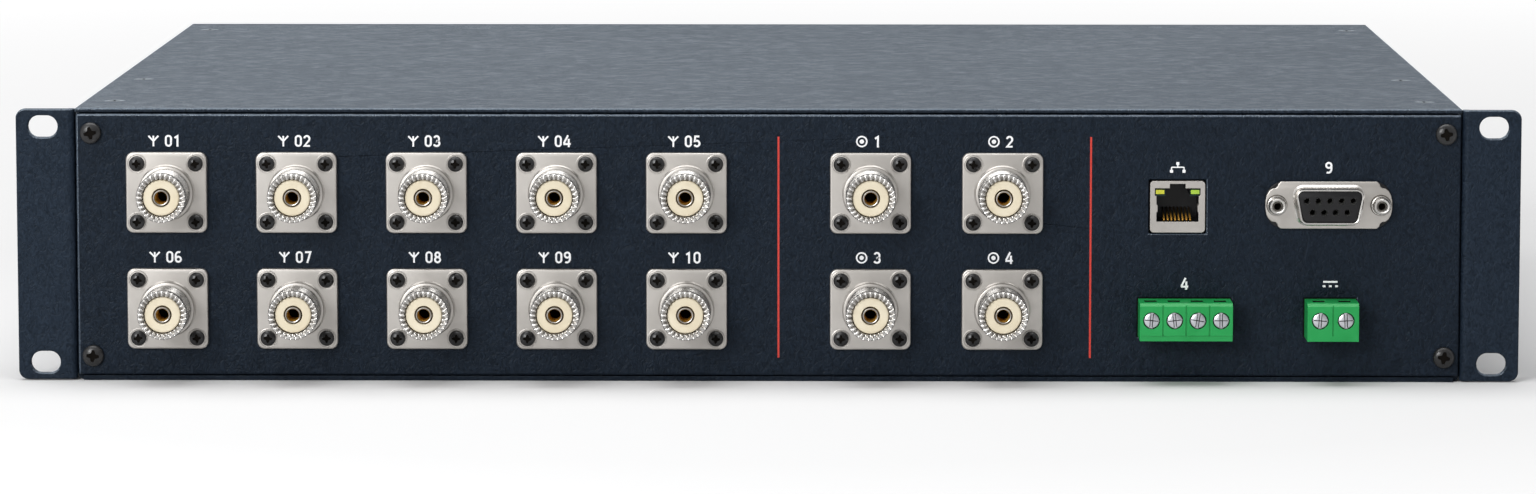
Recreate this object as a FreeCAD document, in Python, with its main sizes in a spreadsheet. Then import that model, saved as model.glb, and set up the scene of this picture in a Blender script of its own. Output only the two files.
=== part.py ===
import FreeCAD, Part
import math
import os
import re

import Sketcher

# A coaxial antenna switch in a 2U, 19-inch case: fourteen coaxial sockets, a network socket, a serial socket
# and two terminal blocks on the front, relay matrix and interface board inside.
# Frame: +X to the right of someone facing the front, +Y to the back, +Z up. Origin at the bottom centre of
# the case. Millimetres.

SIZES = {
    # case and panels
    "case_width": 444.7,
    "case_depth": 350,
    "case_height": 88.1,
    "tray_sheet": 1.5,
    "tray_bend": 2,
    "tray_lip": 14,
    "cover_sheet": 1.5,
    "cover_edge": 0.7,
    "cover_sink": 1.45,
    "front_thickness": 2.5,
    "rear_thickness": 1.5,
    "panel_gap": 0.35,
    "panel_edge": 0.8,
    "edge_setback": 0.5,
    # screws of the panels and the cover: inset and rise from the case's edges, rows from its front or back
    "panel_screw_inset": 5.2,
    "panel_screw_rise": 8.05,
    "panel_screw_head": 6.9,
    "panel_screw_head_height": 2.3,
    "panel_screw_shank": 3.4,
    "panel_screw_length": 8,
    "cover_screw_inset": 9.85,
    "cover_screw_front": 26,
    "cover_screw_middle": 107,
    "cover_screw_rear": 30,
    "cover_screw_head": 6,
    "cover_screw_shank": 3,
    "cover_screw_length": 6,
    "thread_fit": 0.05,
    "screw_hole_fit": 0.2,
    # rack ears
    "ear_reach": 18.9,
    "ear_height": 87.5,
    "ear_thickness": 2.5,
    "ear_bend": 2.2,
    "ear_corner": 3,
    "ear_side_length": 46,
    "ear_slot_span": 465.1,
    "ear_slot_rise": 76.2,
    "ear_slot_length": 9.5,
    "ear_slot_height": 7,
    "ear_screw_first": 14,
    "ear_screw_pitch": 22,
    "ear_screw_rise": 56,
    "ear_screw_head": 7,
    "ear_screw_shank": 3.8,
    "ear_screw_length": 7.5,
    # coaxial sockets: antennas from the case's left side, radios from its middle
    "antenna_first_x": 29.55,
    "antenna_pitch": 41.7,
    "radio_first_x": 33,
    "radio_pitch": 42.3,
    "upper_row_z": 61,
    "lower_row_z": 23.5,
    "flange_side": 26,
    "flange_thickness": 2.2,
    "flange_corner": 2,
    "flange_screw_pitch": 18.8,
    "flange_screw_head": 4.9,
    "flange_screw_head_height": 1.9,
    "flange_screw_shank": 2.8,
    "flange_screw_length": 8,
    "flange_nut_width": 5.5,
    "flange_nut_height": 2.2,
    "collar_diameter": 17.5,
    "collar_length": 2.6,
    "undercut_length": 1,
    "undercut_depth": 0.7,
    "thread_diameter": 15.875,
    "thread_pitch": 1.058,
    "thread_depth": 0.5,
    "barrel_reach": 16.8,
    "rim_tooth": 0.8,
    "rim_teeth": 28,
    "rear_body_diameter": 14.4,
    "rear_body_length": 8,
    "rear_body_fit": 0.3,
    "insulator_diameter": 12,
    "insulator_recess": 1.4,
    "contact_diameter": 5.1,
    "contact_bore": 4,
    "contact_bore_depth": 12,
    "contact_tail_diameter": 3.2,
    "contact_tail_length": 5,
    # network socket, from the case's right side
    "lan_x": 90.95,
    "lan_z": 56.7,
    "lan_width": 17.6,
    "lan_height": 16.6,
    "lan_proud": 0.6,
    "lan_corner": 1.2,
    "lan_shield_sheet": 0.4,
    "lan_bottom_border": 3.5,
    "lan_top_border": 0.9,
    "lan_notch_width": 5,
    "lan_notch_height": 1.45,
    "lan_light_shelf_width": 14.6,
    "lan_light_shelf_height": 2.4,
    "lan_mouth_width": 13.5,
    "lan_cavity_depth": 13,
    "lan_light_width": 2.8,
    "lan_light_height": 1.4,
    "lan_light_depth": 2,
    "lan_light_recess": 0.3,
    "lan_light_margin": 0.3,
    "lan_contact_pitch": 1.2,
    "lan_contact_width": 0.46,
    "lan_contact_rise": 3.4,
    "lan_contact_front": 2.2,
    "lan_contact_back": 1.2,
    "lan_contact_lift": 0.2,
    # serial socket, from the case's right side
    "serial_x": 42.65,
    "serial_z": 57.4,
    "serial_flange_width": 40.6,
    "serial_flange_height": 15.2,
    "serial_plate": 0.9,
    "serial_corner": 4.6,
    "serial_notch_width": 4.2,
    "serial_notch_height": 2.3,
    "serial_shell_width": 22.4,
    "serial_shell_height": 11.4,
    "serial_shell_taper": 2,
    "serial_shell_corner": 2.4,
    "serial_shell_wall": 0.7,
    "serial_shell_reach": 6,
    "serial_insulator_recess": 0.6,
    "serial_pin_pitch": 3.7,
    "serial_pin_rows": 3.7,
    "serial_pin_hole": 2,
    "serial_contact_recess": 1.2,
    "serial_contact_bore": 1.1,
    "serial_standoff_pitch": 33.3,
    "serial_standoff_diameter": 6.3,
    "serial_standoff_height": 5,
    "serial_standoff_bore": 3.4,
    "serial_standoff_floor": 0.5,
    "serial_standoff_stud": 3,
    "serial_nut_height": 2,
    # terminal blocks, from the case's right side
    "data_terminal_x": 88.55,
    "power_terminal_x": 41.75,
    "terminal_z": 20.9,
    "terminal_height": 12.2,
    "terminal_reach": 13,
    "terminal_chamfer": 1,
    "terminal_screw_rise": 0.55,
    "data_pole_pitch": 7.4,
    "power_pole_pitch": 8.2,
    "terminal_ledge_height": 1.8,
    "terminal_ledge_depth": 0.5,
    "terminal_head_diameter": 4.8,
    "terminal_head_height": 1.6,
    "terminal_head_inset": 0.4,
    "terminal_slot_width": 0.7,
    "terminal_slot_depth": 0.7,
    "terminal_shank": 2.5,
    "terminal_shoulder": 0.4,
    "terminal_run_fit": 0.1,
    "terminal_thread_fit": 0.05,
    "terminal_well_fit": 0.3,
    "terminal_groove": 0.4,
    "clamp_travel": 2.2,
    "clamp_width": 5.4,
    "clamp_height": 5.4,
    "clamp_front_wall": 1.2,
    "clamp_side_wall": 0.8,
    "clamp_rear_wall": 1,
    "wire_gap": 2.6,
    "bar_thickness": 0.8,
    "bar_width": 3.6,
    "bar_drop": 0.3,
    "bar_headroom": 0.6,
    # boards: their edges from the case's, the relays from the matrix board's front left corner, and the
    # ribbon and the chip from the interface board's right edge
    "cutout_fit": 0.4,
    "board_thickness": 1.6,
    "board_screw_head": 5.6,
    "board_screw_shank": 2.9,
    "board_screw_length": 5,
    "board_screw_tip_gap": 0.4,
    "board_screw_head_height": 1.8,
    "spacer_width": 6,
    "interface_board_setback": 16.4,
    "interface_board_left": 110.35,
    "interface_board_right": 16.35,
    "interface_board_bottom": 7,
    "interface_board_top": 7.1,
    "board_hole_inset": 4,
    "matrix_hole_front_inset": 12,
    "matrix_board_left": 16.35,
    "matrix_board_right": 62.35,
    "matrix_board_front": 25,
    "matrix_board_back": 45,
    "matrix_spacer_height": 6.5,
    "relay_length": 20,
    "relay_width": 11,
    "relay_height": 12,
    "relay_pitch_x": 29,
    "relay_pitch_y": 46,
    "relay_first_x": 26,
    "relay_first_y": 88,
    "jumper_diameter": 3.6,
    "jumper_bend": 8,
    "lower_jumper_run": 8,
    "upper_jumper_run": 24,
    "ribbon_x": 72,
    "ribbon_width": 24,
    "ribbon_thickness": 1,
    "ribbon_plug_depth": 6,
    "ribbon_plug_width": 6,
    "ribbon_plug_end": 3,
    "ribbon_z": 42,
    "ribbon_run": 6,
    "chip_x": 31,
    "chip_z": 40,
    "chip_side": 14,
    "chip_height": 1.6,
}

ANTENNA_COLUMNS = 5
RADIO_COLUMNS = 2
DATA_POLES = 4
POWER_POLES = 2
SERIAL_ROWS = ((5, 1), (4, -1))  # contacts in a row, and which side of the middle it lies
RELAY_GRID = (10, 4)
LAN_CONTACTS = 8

# Places along the three axes, as formulas in the sizes' names.
HALF = "(case_width / 2)"
FRONT = "(-case_depth / 2)"
BACK = "(case_depth / 2)"
PANEL_BACK = f"({FRONT} + front_thickness)"
REAR_INNER = f"({BACK} - rear_thickness)"
LID = "(case_height - cover_sheet)"
PANEL_FOOT = "(tray_sheet + panel_gap)"
PANEL_TOP = f"({LID} - panel_gap)"
MIDDLE_Z = "(case_height / 2)"
INTERFACE_FRONT = f"({FRONT} + interface_board_setback)"
INTERFACE_BACK = f"({INTERFACE_FRONT} + board_thickness)"
MATRIX_BOTTOM = "(tray_sheet + matrix_spacer_height)"
MATRIX_TOP = f"({MATRIX_BOTTOM} + board_thickness)"
TERMINAL_FACE = f"({FRONT} - terminal_reach)"
TERMINAL_SCREW_Z = "(terminal_z + terminal_screw_rise)"
FIRST_X = {"antenna": f"(antenna_first_x - {HALF})", "radio": "radio_first_x"}
LAN_X = f"({HALF} - lan_x)"
SERIAL_X = f"({HALF} - serial_x)"
TERMINAL_X = {"data": f"({HALF} - data_terminal_x)", "power": f"({HALF} - power_terminal_x)"}
INTERFACE_LEFT, INTERFACE_RIGHT = f"({HALF} - interface_board_left)", f"({HALF} - interface_board_right)"
INTERFACE_TOP = "(case_height - interface_board_top)"
MATRIX_LEFT, MATRIX_RIGHT = f"(matrix_board_left - {HALF})", f"({HALF} - matrix_board_right)"
MATRIX_FRONT, MATRIX_BACK = f"({FRONT} + matrix_board_front)", f"({BACK} - matrix_board_back)"
RIBBON_X = f"({INTERFACE_RIGHT} - ribbon_x)"
PAST = 1  # how far a cutting solid runs past the face it opens

doc = FreeCAD.newDocument("AntennaSwitch")
sheet = doc.addObject("Spreadsheet::Sheet", "Sizes")
for row, (alias, size) in enumerate(SIZES.items(), 1):
    sheet.set(f"A{row}", alias)
    sheet.set(f"B{row}", str(size))
    sheet.setAlias(f"B{row}", alias)
doc.recompute()

nodes = []


# Formulas

def formula(text):
    """A formula in the sizes' names, as the document reads it."""
    return re.sub(r"[a-z]\w*", lambda word: "Sizes." + word[0] if word[0] in SIZES else word[0], str(text))


def number(text):
    """What a formula comes to now."""
    return float(sheet.evalExpression(formula(text)))


def vector(x, y, z):
    return FreeCAD.Vector(number(x), number(y), number(z))


def around(middle, width):
    """The span of a width about its middle."""
    return f"({middle} - ({width}) / 2)", f"({middle} + ({width}) / 2)"


def mirrored(span, side):
    """A span along X, on the right for side 1 and on the left for side -1."""
    low, high = span
    return span if side > 0 else (f"(-{high})", f"(-{low})")


# Building blocks

def node(label, thing):
    """Marks a finished sub-part and gives it its own name."""
    thing.Label = label
    nodes.append(thing)
    return thing


def bind(thing, **formulas):
    for name, text in formulas.items():
        thing.setExpression(name.replace("__", "."), formula(text))
    return thing


def put(thing, x="0", y="0", z="0"):
    return bind(thing, Placement__Base__x=x, Placement__Base__y=y, Placement__Base__z=z)


def body(name):
    return doc.addObject("PartDesign::Body", name)


def origin_item(owner, role):
    return next(item for item in owner.Origin.OriginFeatures if item.Role == role)


def block(owner, x, y, z, cut=False, kind=None):
    """A box between pairs of formulas along each axis, added to its body, cut from it, or by itself."""
    kind = kind or ("PartDesign::SubtractiveBox" if cut else "PartDesign::AdditiveBox")
    box = owner.newObject(kind, "block") if owner else doc.addObject(kind, "block")
    spans = dict(zip(("Length", "Width", "Height"), (x, y, z)))
    bind(box, **{side: f"{high} - {low}" for side, (low, high) in spans.items()})
    return put(box, x[0], y[0], z[0])


def solid_block(x, y, z):
    return block(None, x, y, z, kind="Part::Box")


ALONG_Y = FreeCAD.Rotation(FreeCAD.Vector(1, 0, 0), -90)


def cylinder(radius, length, x="0", y="0", z="0", turn=None, owner=None, kind="Part::Cylinder"):
    """A cylinder that starts at a point and runs along +Z, or along the turn's axis."""
    rod = owner.newObject(kind, "rod") if owner else doc.addObject(kind, "rod")
    if turn:
        rod.Placement.Rotation = turn
    bind(rod, Radius=radius, Height=length)
    return put(rod, x, y, z)


def sketch_on(owner, plane, at="0"):
    """An empty sketch parallel to one of the body's own planes, at a place along that plane's axis."""
    sketch = owner.newObject("Sketcher::SketchObject", "sketch")
    sketch.AttachmentSupport = [(origin_item(owner, plane), "")]
    sketch.MapMode = "FlatFace"
    away = f"-({at})" if plane == "XZ_Plane" else at
    return bind(sketch, AttachmentOffset__Base__z=away)


def hold(sketch, constraints, formulas):
    first = sketch.ConstraintCount
    sketch.addConstraint(constraints)
    for i, text in enumerate(formulas):
        if text is not None:
            sketch.setExpression(f"Constraints[{first + i}]", formula(text))


def draw_polygon(sketch, points):
    """A closed outline whose corners are pairs of formulas."""
    first, count = sketch.GeometryCount, len(points)
    corners = [vector(u, v, 0) for u, v in points]
    sketch.addGeometry([Part.LineSegment(a, b) for a, b in zip(corners, corners[1:] + corners[:1])], False)
    constraints, formulas = [], []
    for i, (u, v) in enumerate(points):
        constraints.append(Sketcher.Constraint("Coincident", first + i, 2, first + (i + 1) % count, 1))
        constraints.append(Sketcher.Constraint("DistanceX", -1, 1, first + i, 1, corners[i].x))
        constraints.append(Sketcher.Constraint("DistanceY", -1, 1, first + i, 1, corners[i].y))
        formulas += [None, u, v]
    hold(sketch, constraints, formulas)


def draw_rectangle(sketch, u, v):
    draw_polygon(sketch, [(u[0], v[0]), (u[1], v[0]), (u[1], v[1]), (u[0], v[1])])


def draw_circle(sketch, u, v, radius):
    ring = Part.Circle(vector(u, v, 0), FreeCAD.Vector(0, 0, 1), number(radius))
    index = sketch.addGeometry(ring, False)
    held = [
        Sketcher.Constraint("DistanceX", -1, 1, index, 3, number(u)),
        Sketcher.Constraint("DistanceY", -1, 1, index, 3, number(v)),
        Sketcher.Constraint("Radius", index, number(radius)),
    ]
    hold(sketch, held, [u, v, radius])


def draw_slot(sketch, u, v, length, height):
    """A round-ended slot along the sketch's first axis: its two sides, then its right and left ends."""
    first = sketch.GeometryCount
    (left, right), (low, high) = around(u, f"{length} - {height}"), around(v, height)
    points = [(left, low), (right, low), (right, high), (left, high)]
    corners = [vector(*point, 0) for point in points]
    radius = number(f"{height} / 2")
    quarter = math.pi / 2
    for centre, turn in ((right, -quarter), (left, quarter)):
        circle = Part.Circle(vector(centre, v, 0), FreeCAD.Vector(0, 0, 1), radius)
        sketch.addGeometry(Part.ArcOfCircle(circle, turn, turn + math.pi), False)
    for a, b in ((0, 1), (2, 3)):
        sketch.addGeometry(Part.LineSegment(corners[a], corners[b]), False)
    right_end, left_end, floor, roof = range(first, first + 4)
    constraints = [Sketcher.Constraint("Coincident", *pair) for pair in (
        (floor, 2, right_end, 1), (right_end, 2, roof, 1), (roof, 2, left_end, 1), (left_end, 2, floor, 1))]
    formulas = [None] * len(constraints)
    ends = ((floor, 1), (floor, 2), (roof, 1), (roof, 2))
    for (line, end), corner, (x, y) in zip(ends, corners, points):
        constraints.append(Sketcher.Constraint("DistanceX", -1, 1, line, end, corner.x))
        constraints.append(Sketcher.Constraint("DistanceY", -1, 1, line, end, corner.y))
        formulas += [x, y]
    for arc, centre in ((right_end, right), (left_end, left)):
        constraints.append(Sketcher.Constraint("DistanceX", -1, 1, arc, 3, number(centre)))
        formulas.append(centre)
    hold(sketch, constraints, formulas)


def feature(owner, kind, sketch, **formulas):
    """A sketch-based feature such as Pad or Pocket."""
    made = owner.newObject("PartDesign::" + kind, kind.lower())
    made.Profile = sketch
    return bind(made, **formulas)


def through_pocket(owner, sketch):
    made = feature(owner, "Pocket", sketch)
    made.Type = "ThroughAll"
    made.SideType = "Symmetric"
    return made


def turned(owner, points):
    """A solid of revolution about Y, from its outline in X and Y."""
    sketch = sketch_on(owner, "XY_Plane")
    draw_polygon(sketch, points)
    made = owner.newObject("PartDesign::Revolution", "turned")
    made.Profile = sketch
    made.ReferenceAxis = (sketch, ["V_Axis"])
    return made


def dress(owner, kind, radius, pick):
    """Fillets or chamfers the edges that pick(edge) chooses on the body as it stands."""
    doc.recompute()
    base = owner.Tip
    names = [f"Edge{i}" for i, edge in enumerate(base.Shape.Edges, 1) if pick(edge)]
    made = owner.newObject("PartDesign::" + kind, kind.lower())
    made.Base = (base, names)
    return bind(made, **{"Radius" if kind == "Fillet" else "Size": radius})


def runs_along(edge, axis):
    if not isinstance(edge.Curve, Part.Line):
        return False
    return abs(edge.Curve.Direction.dot(axis)) > 0.999


def is_ring(edge):
    return isinstance(edge.Curve, Part.Circle) and edge.isClosed()


def near(value, text):
    return abs(value - number(text)) < 0.01


def boolean(kind, first, *others):
    if kind == "Cut":
        made = doc.addObject("Part::Cut", "cut")
        made.Base = first
        made.Tool = others[0] if len(others) == 1 else boolean("Fuse", *others)
        return made
    made = doc.addObject("Part::MultiFuse", "fuse")
    made.Shapes = [first, *others]
    return made


def gather(label, pieces):
    """Several finished pieces kept as separate solids of one node."""
    held = doc.addObject("Part::Compound", label)
    held.Links = pieces
    return node(label, held)


def copies(label, masters_at):
    """Copies of finished masters: pairs of a master and the places, as vectors, that its copies go to."""
    doc.recompute()
    shapes = [master.Shape.translated(place) for master, places in masters_at for place in places]
    held = doc.addObject("Part::Feature", label)
    held.Shape = Part.makeCompound(shapes)
    held.Placement = FreeCAD.Placement()
    return node(label, held)


X_AXIS = FreeCAD.Vector(1, 0, 0)
Y_AXIS = FreeCAD.Vector(0, 1, 0)
Z_AXIS = FreeCAD.Vector(0, 0, 1)
SIDES = (1, -1)


# Where things repeat

def socket_places():
    """Each coaxial socket's name with its X and Z."""
    places = []
    for row, z in enumerate(("upper_row_z", "lower_row_z")):
        for column in range(ANTENNA_COLUMNS):
            name = f"antenna_connector_{row * ANTENNA_COLUMNS + column + 1:02d}"
            places.append((name, f"({FIRST_X['antenna']} + {column} * antenna_pitch)", z))
    for row, z in enumerate(("upper_row_z", "lower_row_z")):
        for column in range(RADIO_COLUMNS):
            name = f"radio_connector_{row * RADIO_COLUMNS + column + 1}"
            places.append((name, f"({FIRST_X['radio']} + {column} * radio_pitch)", z))
    return places


def pole_places():
    """Each terminal pole's block, number and X."""
    places = []
    for block_name, poles in (("data", DATA_POLES), ("power", POWER_POLES)):
        for i in range(poles):
            x = f"({TERMINAL_X[block_name]} + ({i} - {(poles - 1) / 2}) * {block_name}_pole_pitch)"
            places.append((block_name, i + 1, x))
    return places


def panel_screw_places():
    across, rise = f"({HALF} - panel_screw_inset)", f"({MIDDLE_Z} - panel_screw_rise)"
    return [(f"({side} * {across})", f"({MIDDLE_Z} + {up} * {rise})") for side in SIDES for up in SIDES]


def cover_screw_places():
    rows = f"({FRONT} + cover_screw_front)", f"({FRONT} + cover_screw_middle)", f"({BACK} - cover_screw_rear)"
    return [(f"({side} * ({HALF} - cover_screw_inset))", y) for side in SIDES for y in rows]


def ear_screw_places():
    """Y and Z of the screws through one ear's side."""
    return [(f"({FRONT} + ear_screw_first + {i} * ear_screw_pitch)",
             f"({MIDDLE_Z} + {up} * ear_screw_rise / 2)") for i in range(2) for up in SIDES]


def interface_hole_places():
    """X and Z of the interface board's four fixings."""
    across = f"({INTERFACE_LEFT} + board_hole_inset)", f"({INTERFACE_RIGHT} - board_hole_inset)"
    up = "(interface_board_bottom + board_hole_inset)", f"({INTERFACE_TOP} - board_hole_inset)"
    return [(x, z) for x in across for z in up]


def matrix_hole_places():
    """X and Y of the matrix board's six fixings."""
    left, right = f"({MATRIX_LEFT} + board_hole_inset)", f"({MATRIX_RIGHT} - board_hole_inset)"
    deep = f"({MATRIX_FRONT} + matrix_hole_front_inset)", f"({MATRIX_BACK} - board_hole_inset)"
    return [(x, y) for x in (left, f"(({left} + {right}) / 2)", right) for y in deep]


# Fasteners

RECESS_REACH, RECESS_HALF_WIDTH = 0.28, 0.08  # a cross recess as shares of the head's diameter
RECESS_DEPTH = 0.6  # and of the head's height
PAN_OUTLINE = ((1, 0.45), (0.8, 0.85), (0.45, 1))  # shares of a pan head's radius and height, seat to top


def cross_recess(owner, head, top, depth):
    """A cross-shaped recess in a screw head whose top is at -Y."""
    long, short = f"({head} * {RECESS_REACH})", f"({head} * {RECESS_HALF_WIDTH})"
    quarter = [(short, long), (short, short), (long, short)]
    upper = quarter + [(u, f"(-{v})") for u, v in reversed(quarter)]
    cross = upper + [(f"(-{u})", v) for u, v in reversed(upper)]
    sketch = sketch_on(owner, "XZ_Plane", top)
    draw_polygon(sketch, cross)
    recess = feature(owner, "Pocket", sketch, Length=depth)
    return recess


def pan_screw(kind):
    """A pan-head screw: seat at y = 0, head towards -Y, shank towards +Y."""
    head, height = f"({kind}_screw_head / 2)", f"{kind}_screw_head_height"
    shank, length = f"({kind}_screw_shank / 2)", f"{kind}_screw_length"
    screw = body(f"{kind}_screw")
    dome = [(f"({head} * {out})", f"(-{height} * {up})") for out, up in PAN_OUTLINE]
    turned(screw, [("0", length), (shank, length), (shank, "0"), (head, "0"), *dome, ("0", f"(-{height})")])
    cross_recess(screw, f"{kind}_screw_head", f"-{height}", f"({height} * {RECESS_DEPTH})")
    return screw


def flat_screw(kind):
    """A countersunk screw: flat top at y = 0, shank towards +Y."""
    head, shank = f"({kind}_screw_head / 2)", f"({kind}_screw_shank / 2)"
    length, cone = f"{kind}_screw_length", f"(({kind}_screw_head - {kind}_screw_shank) / 2)"
    screw = body(f"{kind}_screw")
    turned(screw, [("0", length), (shank, length), (shank, cone), (head, "0"), ("0", "0")])
    cross_recess(screw, f"{kind}_screw_head", "0", cone)
    return screw


def turned_copy(source, x, y, z, axis, angle):
    """A compound that holds one master, turned and placed."""
    copy = doc.addObject("Part::Compound", source.Name + "_placed")
    copy.Links = [source]
    copy.Placement.Rotation = FreeCAD.Rotation(axis, angle)
    return put(copy, x, y, z)


# Case

def base_tray():
    tray = body("base_tray")
    profile = sketch_on(tray, "XZ_Plane", REAR_INNER)
    wall, lip = f"({HALF} - tray_sheet)", f"({HALF} - tray_sheet - tray_lip)"
    under = f"({LID} - tray_sheet)"
    right = [(HALF, "0"), (HALF, LID), (lip, LID), (lip, under), (wall, under), (wall, "tray_sheet")]
    left = [(f"(-{u})", v) for u, v in reversed(right)]
    draw_polygon(profile, right + left)
    feature(tray, "Pad", profile, Length=f"{REAR_INNER} - {PANEL_BACK}")
    dress(tray, "Fillet", "tray_bend", lambda edge: runs_along(edge, Y_AXIS)
          and near(abs(edge.CenterOfMass.x), HALF))
    block(tray, (f"(-{HALF} + tray_bend)", f"({HALF} - tray_bend)"),
          (f"({FRONT} + edge_setback)", f"({BACK} - edge_setback)"), ("0", "tray_sheet"))
    for side in SIDES:
        for y in ((PANEL_BACK, f"({PANEL_BACK} + tray_sheet)"), (f"({REAR_INNER} - tray_sheet)", REAR_INNER)):
            block(tray, mirrored((lip, wall), side), y, ("tray_sheet", under))
    panel_holes = sketch_on(tray, "XZ_Plane")
    for x, z in panel_screw_places():
        draw_circle(panel_holes, x, z, "(panel_screw_shank / 2 + thread_fit)")
    through_pocket(tray, panel_holes)
    cover_holes = sketch_on(tray, "XY_Plane", LID)
    for x, y in cover_screw_places():
        draw_circle(cover_holes, x, y, "(cover_screw_shank / 2 + thread_fit)")
    feature(tray, "Pocket", cover_holes, Length="tray_sheet * 2")
    ear_holes = sketch_on(tray, "YZ_Plane")
    for y, z in ear_screw_places():
        draw_circle(ear_holes, y, z, "(ear_screw_shank / 2 + thread_fit)")
    through_pocket(tray, ear_holes)
    return node("base_tray", tray)


def top_cover():
    cover = body("top_cover")
    block(cover, (f"(-{HALF})", HALF), (f"({FRONT} + edge_setback)", f"({BACK} - edge_setback)"),
          (LID, "case_height"))
    dress(cover, "Fillet", "cover_edge", lambda edge: near(edge.CenterOfMass.z, "case_height"))
    holes = sketch_on(cover, "XY_Plane")
    for x, y in cover_screw_places():
        draw_circle(holes, x, y, "(cover_screw_shank / 2 + screw_hole_fit)")
    through_pocket(cover, holes)
    dress(cover, "Chamfer", "cover_sink", lambda edge: is_ring(edge)
          and near(edge.CenterOfMass.z, "case_height"))
    return node("top_cover", cover)


def socket_holes(panel, kind, columns):
    """The holes for one column of sockets, repeated along X."""
    sketch = sketch_on(panel, "XZ_Plane")
    reach = "(flange_screw_pitch / 2)"
    for z in ("upper_row_z", "lower_row_z"):
        draw_circle(sketch, FIRST_X[kind], z, "(rear_body_diameter / 2 + rear_body_fit)")
        for side in SIDES:
            for up in SIDES:
                draw_circle(sketch, f"({FIRST_X[kind]} + {side} * {reach})", f"({z} + {up} * {reach})",
                            "(flange_screw_shank / 2 + screw_hole_fit)")
    holes = through_pocket(panel, sketch)
    row = panel.newObject("PartDesign::LinearPattern", f"{kind}_holes")
    row.Originals = [holes]
    row.Direction = (sketch, ["H_Axis"])
    row.Occurrences = columns
    bind(row, Length=f"{columns - 1} * {kind}_pitch")
    panel.Tip = row


def front_panel():
    panel = body("front_panel")
    outline = sketch_on(panel, "XZ_Plane", PANEL_BACK)
    draw_rectangle(outline, (f"(-{HALF} + panel_gap)", f"({HALF} - panel_gap)"), (PANEL_FOOT, PANEL_TOP))
    feature(panel, "Pad", outline, Length="front_thickness")
    dress(panel, "Fillet", "panel_edge", lambda edge: near(edge.CenterOfMass.y, FRONT))
    socket_holes(panel, "antenna", ANTENNA_COLUMNS)
    socket_holes(panel, "radio", RADIO_COLUMNS)
    openings = sketch_on(panel, "XZ_Plane")
    draw_rectangle(openings, around(LAN_X, "lan_width + 2 * cutout_fit"),
                   around("lan_z", "lan_height + 2 * cutout_fit"))
    draw_rectangle(openings, around(SERIAL_X, "serial_shell_width"),
                   around("serial_z", "serial_shell_height"))
    for name, poles in (("data", DATA_POLES), ("power", POWER_POLES)):
        draw_rectangle(openings, around(TERMINAL_X[name], f"{poles} * {name}_pole_pitch + cutout_fit"),
                       around("terminal_z", "terminal_height + cutout_fit"))
    for x in serial_standoff_places():
        draw_circle(openings, x, "serial_z", "(serial_standoff_stud / 2 + screw_hole_fit)")
    for x, z in panel_screw_places():
        draw_circle(openings, x, z, "(panel_screw_shank / 2 + screw_hole_fit)")
    through_pocket(panel, openings)
    return node("front_panel", panel)


def rear_panel():
    panel = body("rear_panel")
    outline = sketch_on(panel, "XZ_Plane", BACK)
    draw_rectangle(outline, (f"(-{HALF} + panel_gap)", f"({HALF} - panel_gap)"), (PANEL_FOOT, PANEL_TOP))
    for x, z in panel_screw_places():
        draw_circle(outline, x, z, "(panel_screw_shank / 2 + screw_hole_fit)")
    feature(panel, "Pad", outline, Length="rear_thickness")
    return node("rear_panel", panel)


def rack_ear(name, side):
    """An angle screwed to the side of the case, with two slots for the rack."""
    ear = body(name)
    profile = sketch_on(ear, "XY_Plane", f"({MIDDLE_Z} - ear_height / 2)")
    inner, outer = HALF, f"({HALF} + ear_reach)"
    leg = f"({HALF} + ear_thickness)"
    back, face_back = f"({FRONT} + ear_side_length)", f"({FRONT} + ear_thickness)"
    points = [(inner, FRONT), (outer, FRONT), (outer, face_back), (leg, face_back), (leg, back),
              (inner, back)]
    draw_polygon(profile, [(u if side > 0 else f"(-{u})", v) for u, v in points])
    feature(ear, "Pad", profile, Length="ear_height")
    dress(ear, "Fillet", "ear_bend", lambda edge: runs_along(edge, Z_AXIS)
          and near(abs(edge.CenterOfMass.x), inner) and near(edge.CenterOfMass.y, FRONT))
    dress(ear, "Fillet", "ear_corner", lambda edge: runs_along(edge, Y_AXIS)
          and near(abs(edge.CenterOfMass.x), outer))
    dress(ear, "Fillet", "ear_corner", lambda edge: runs_along(edge, X_AXIS)
          and near(edge.CenterOfMass.y, back))
    slots = sketch_on(ear, "XZ_Plane")
    for up in SIDES:
        draw_slot(slots, f"({side} * ear_slot_span / 2)", f"({MIDDLE_Z} + {up} * ear_slot_rise / 2)",
                  "ear_slot_length", "ear_slot_height")
    through_pocket(ear, slots)
    holes = sketch_on(ear, "YZ_Plane")
    for y, z in ear_screw_places():
        draw_circle(holes, y, z, "(ear_screw_shank / 2 + screw_hole_fit)")
    through_pocket(ear, holes)
    dress(ear, "Chamfer", "((ear_screw_head - ear_screw_shank) / 2)", lambda edge: is_ring(edge)
          and near(abs(edge.CenterOfMass.x), leg))
    return node(name, ear)


def case_screws():
    panel_master, cover_master, ear_master = pan_screw("panel"), flat_screw("cover"), flat_screw("ear")
    front = [turned_copy(panel_master, x, FRONT, z, Z_AXIS, 0) for x, z in panel_screw_places()]
    rear = [turned_copy(panel_master, x, BACK, z, Z_AXIS, 180) for x, z in panel_screw_places()]
    gather("panel_screws", front + rear)
    gather("cover_screws", [turned_copy(cover_master, x, y, "case_height", X_AXIS, -90)
                            for x, y in cover_screw_places()])
    seat = f"({HALF} + ear_thickness)"
    gather("ear_screws", [turned_copy(ear_master, f"({side} * {seat})", y, z, Z_AXIS, 90 * side)
                          for side in SIDES for y, z in ear_screw_places()])


# Coaxial sockets

GROOVE_SHARE = 0.84  # of the thread's pitch that its groove takes up
TOOTH_GAP_SHARE = 0.9  # of the pitch of the rim's teeth that a gap takes up at the bore


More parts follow.
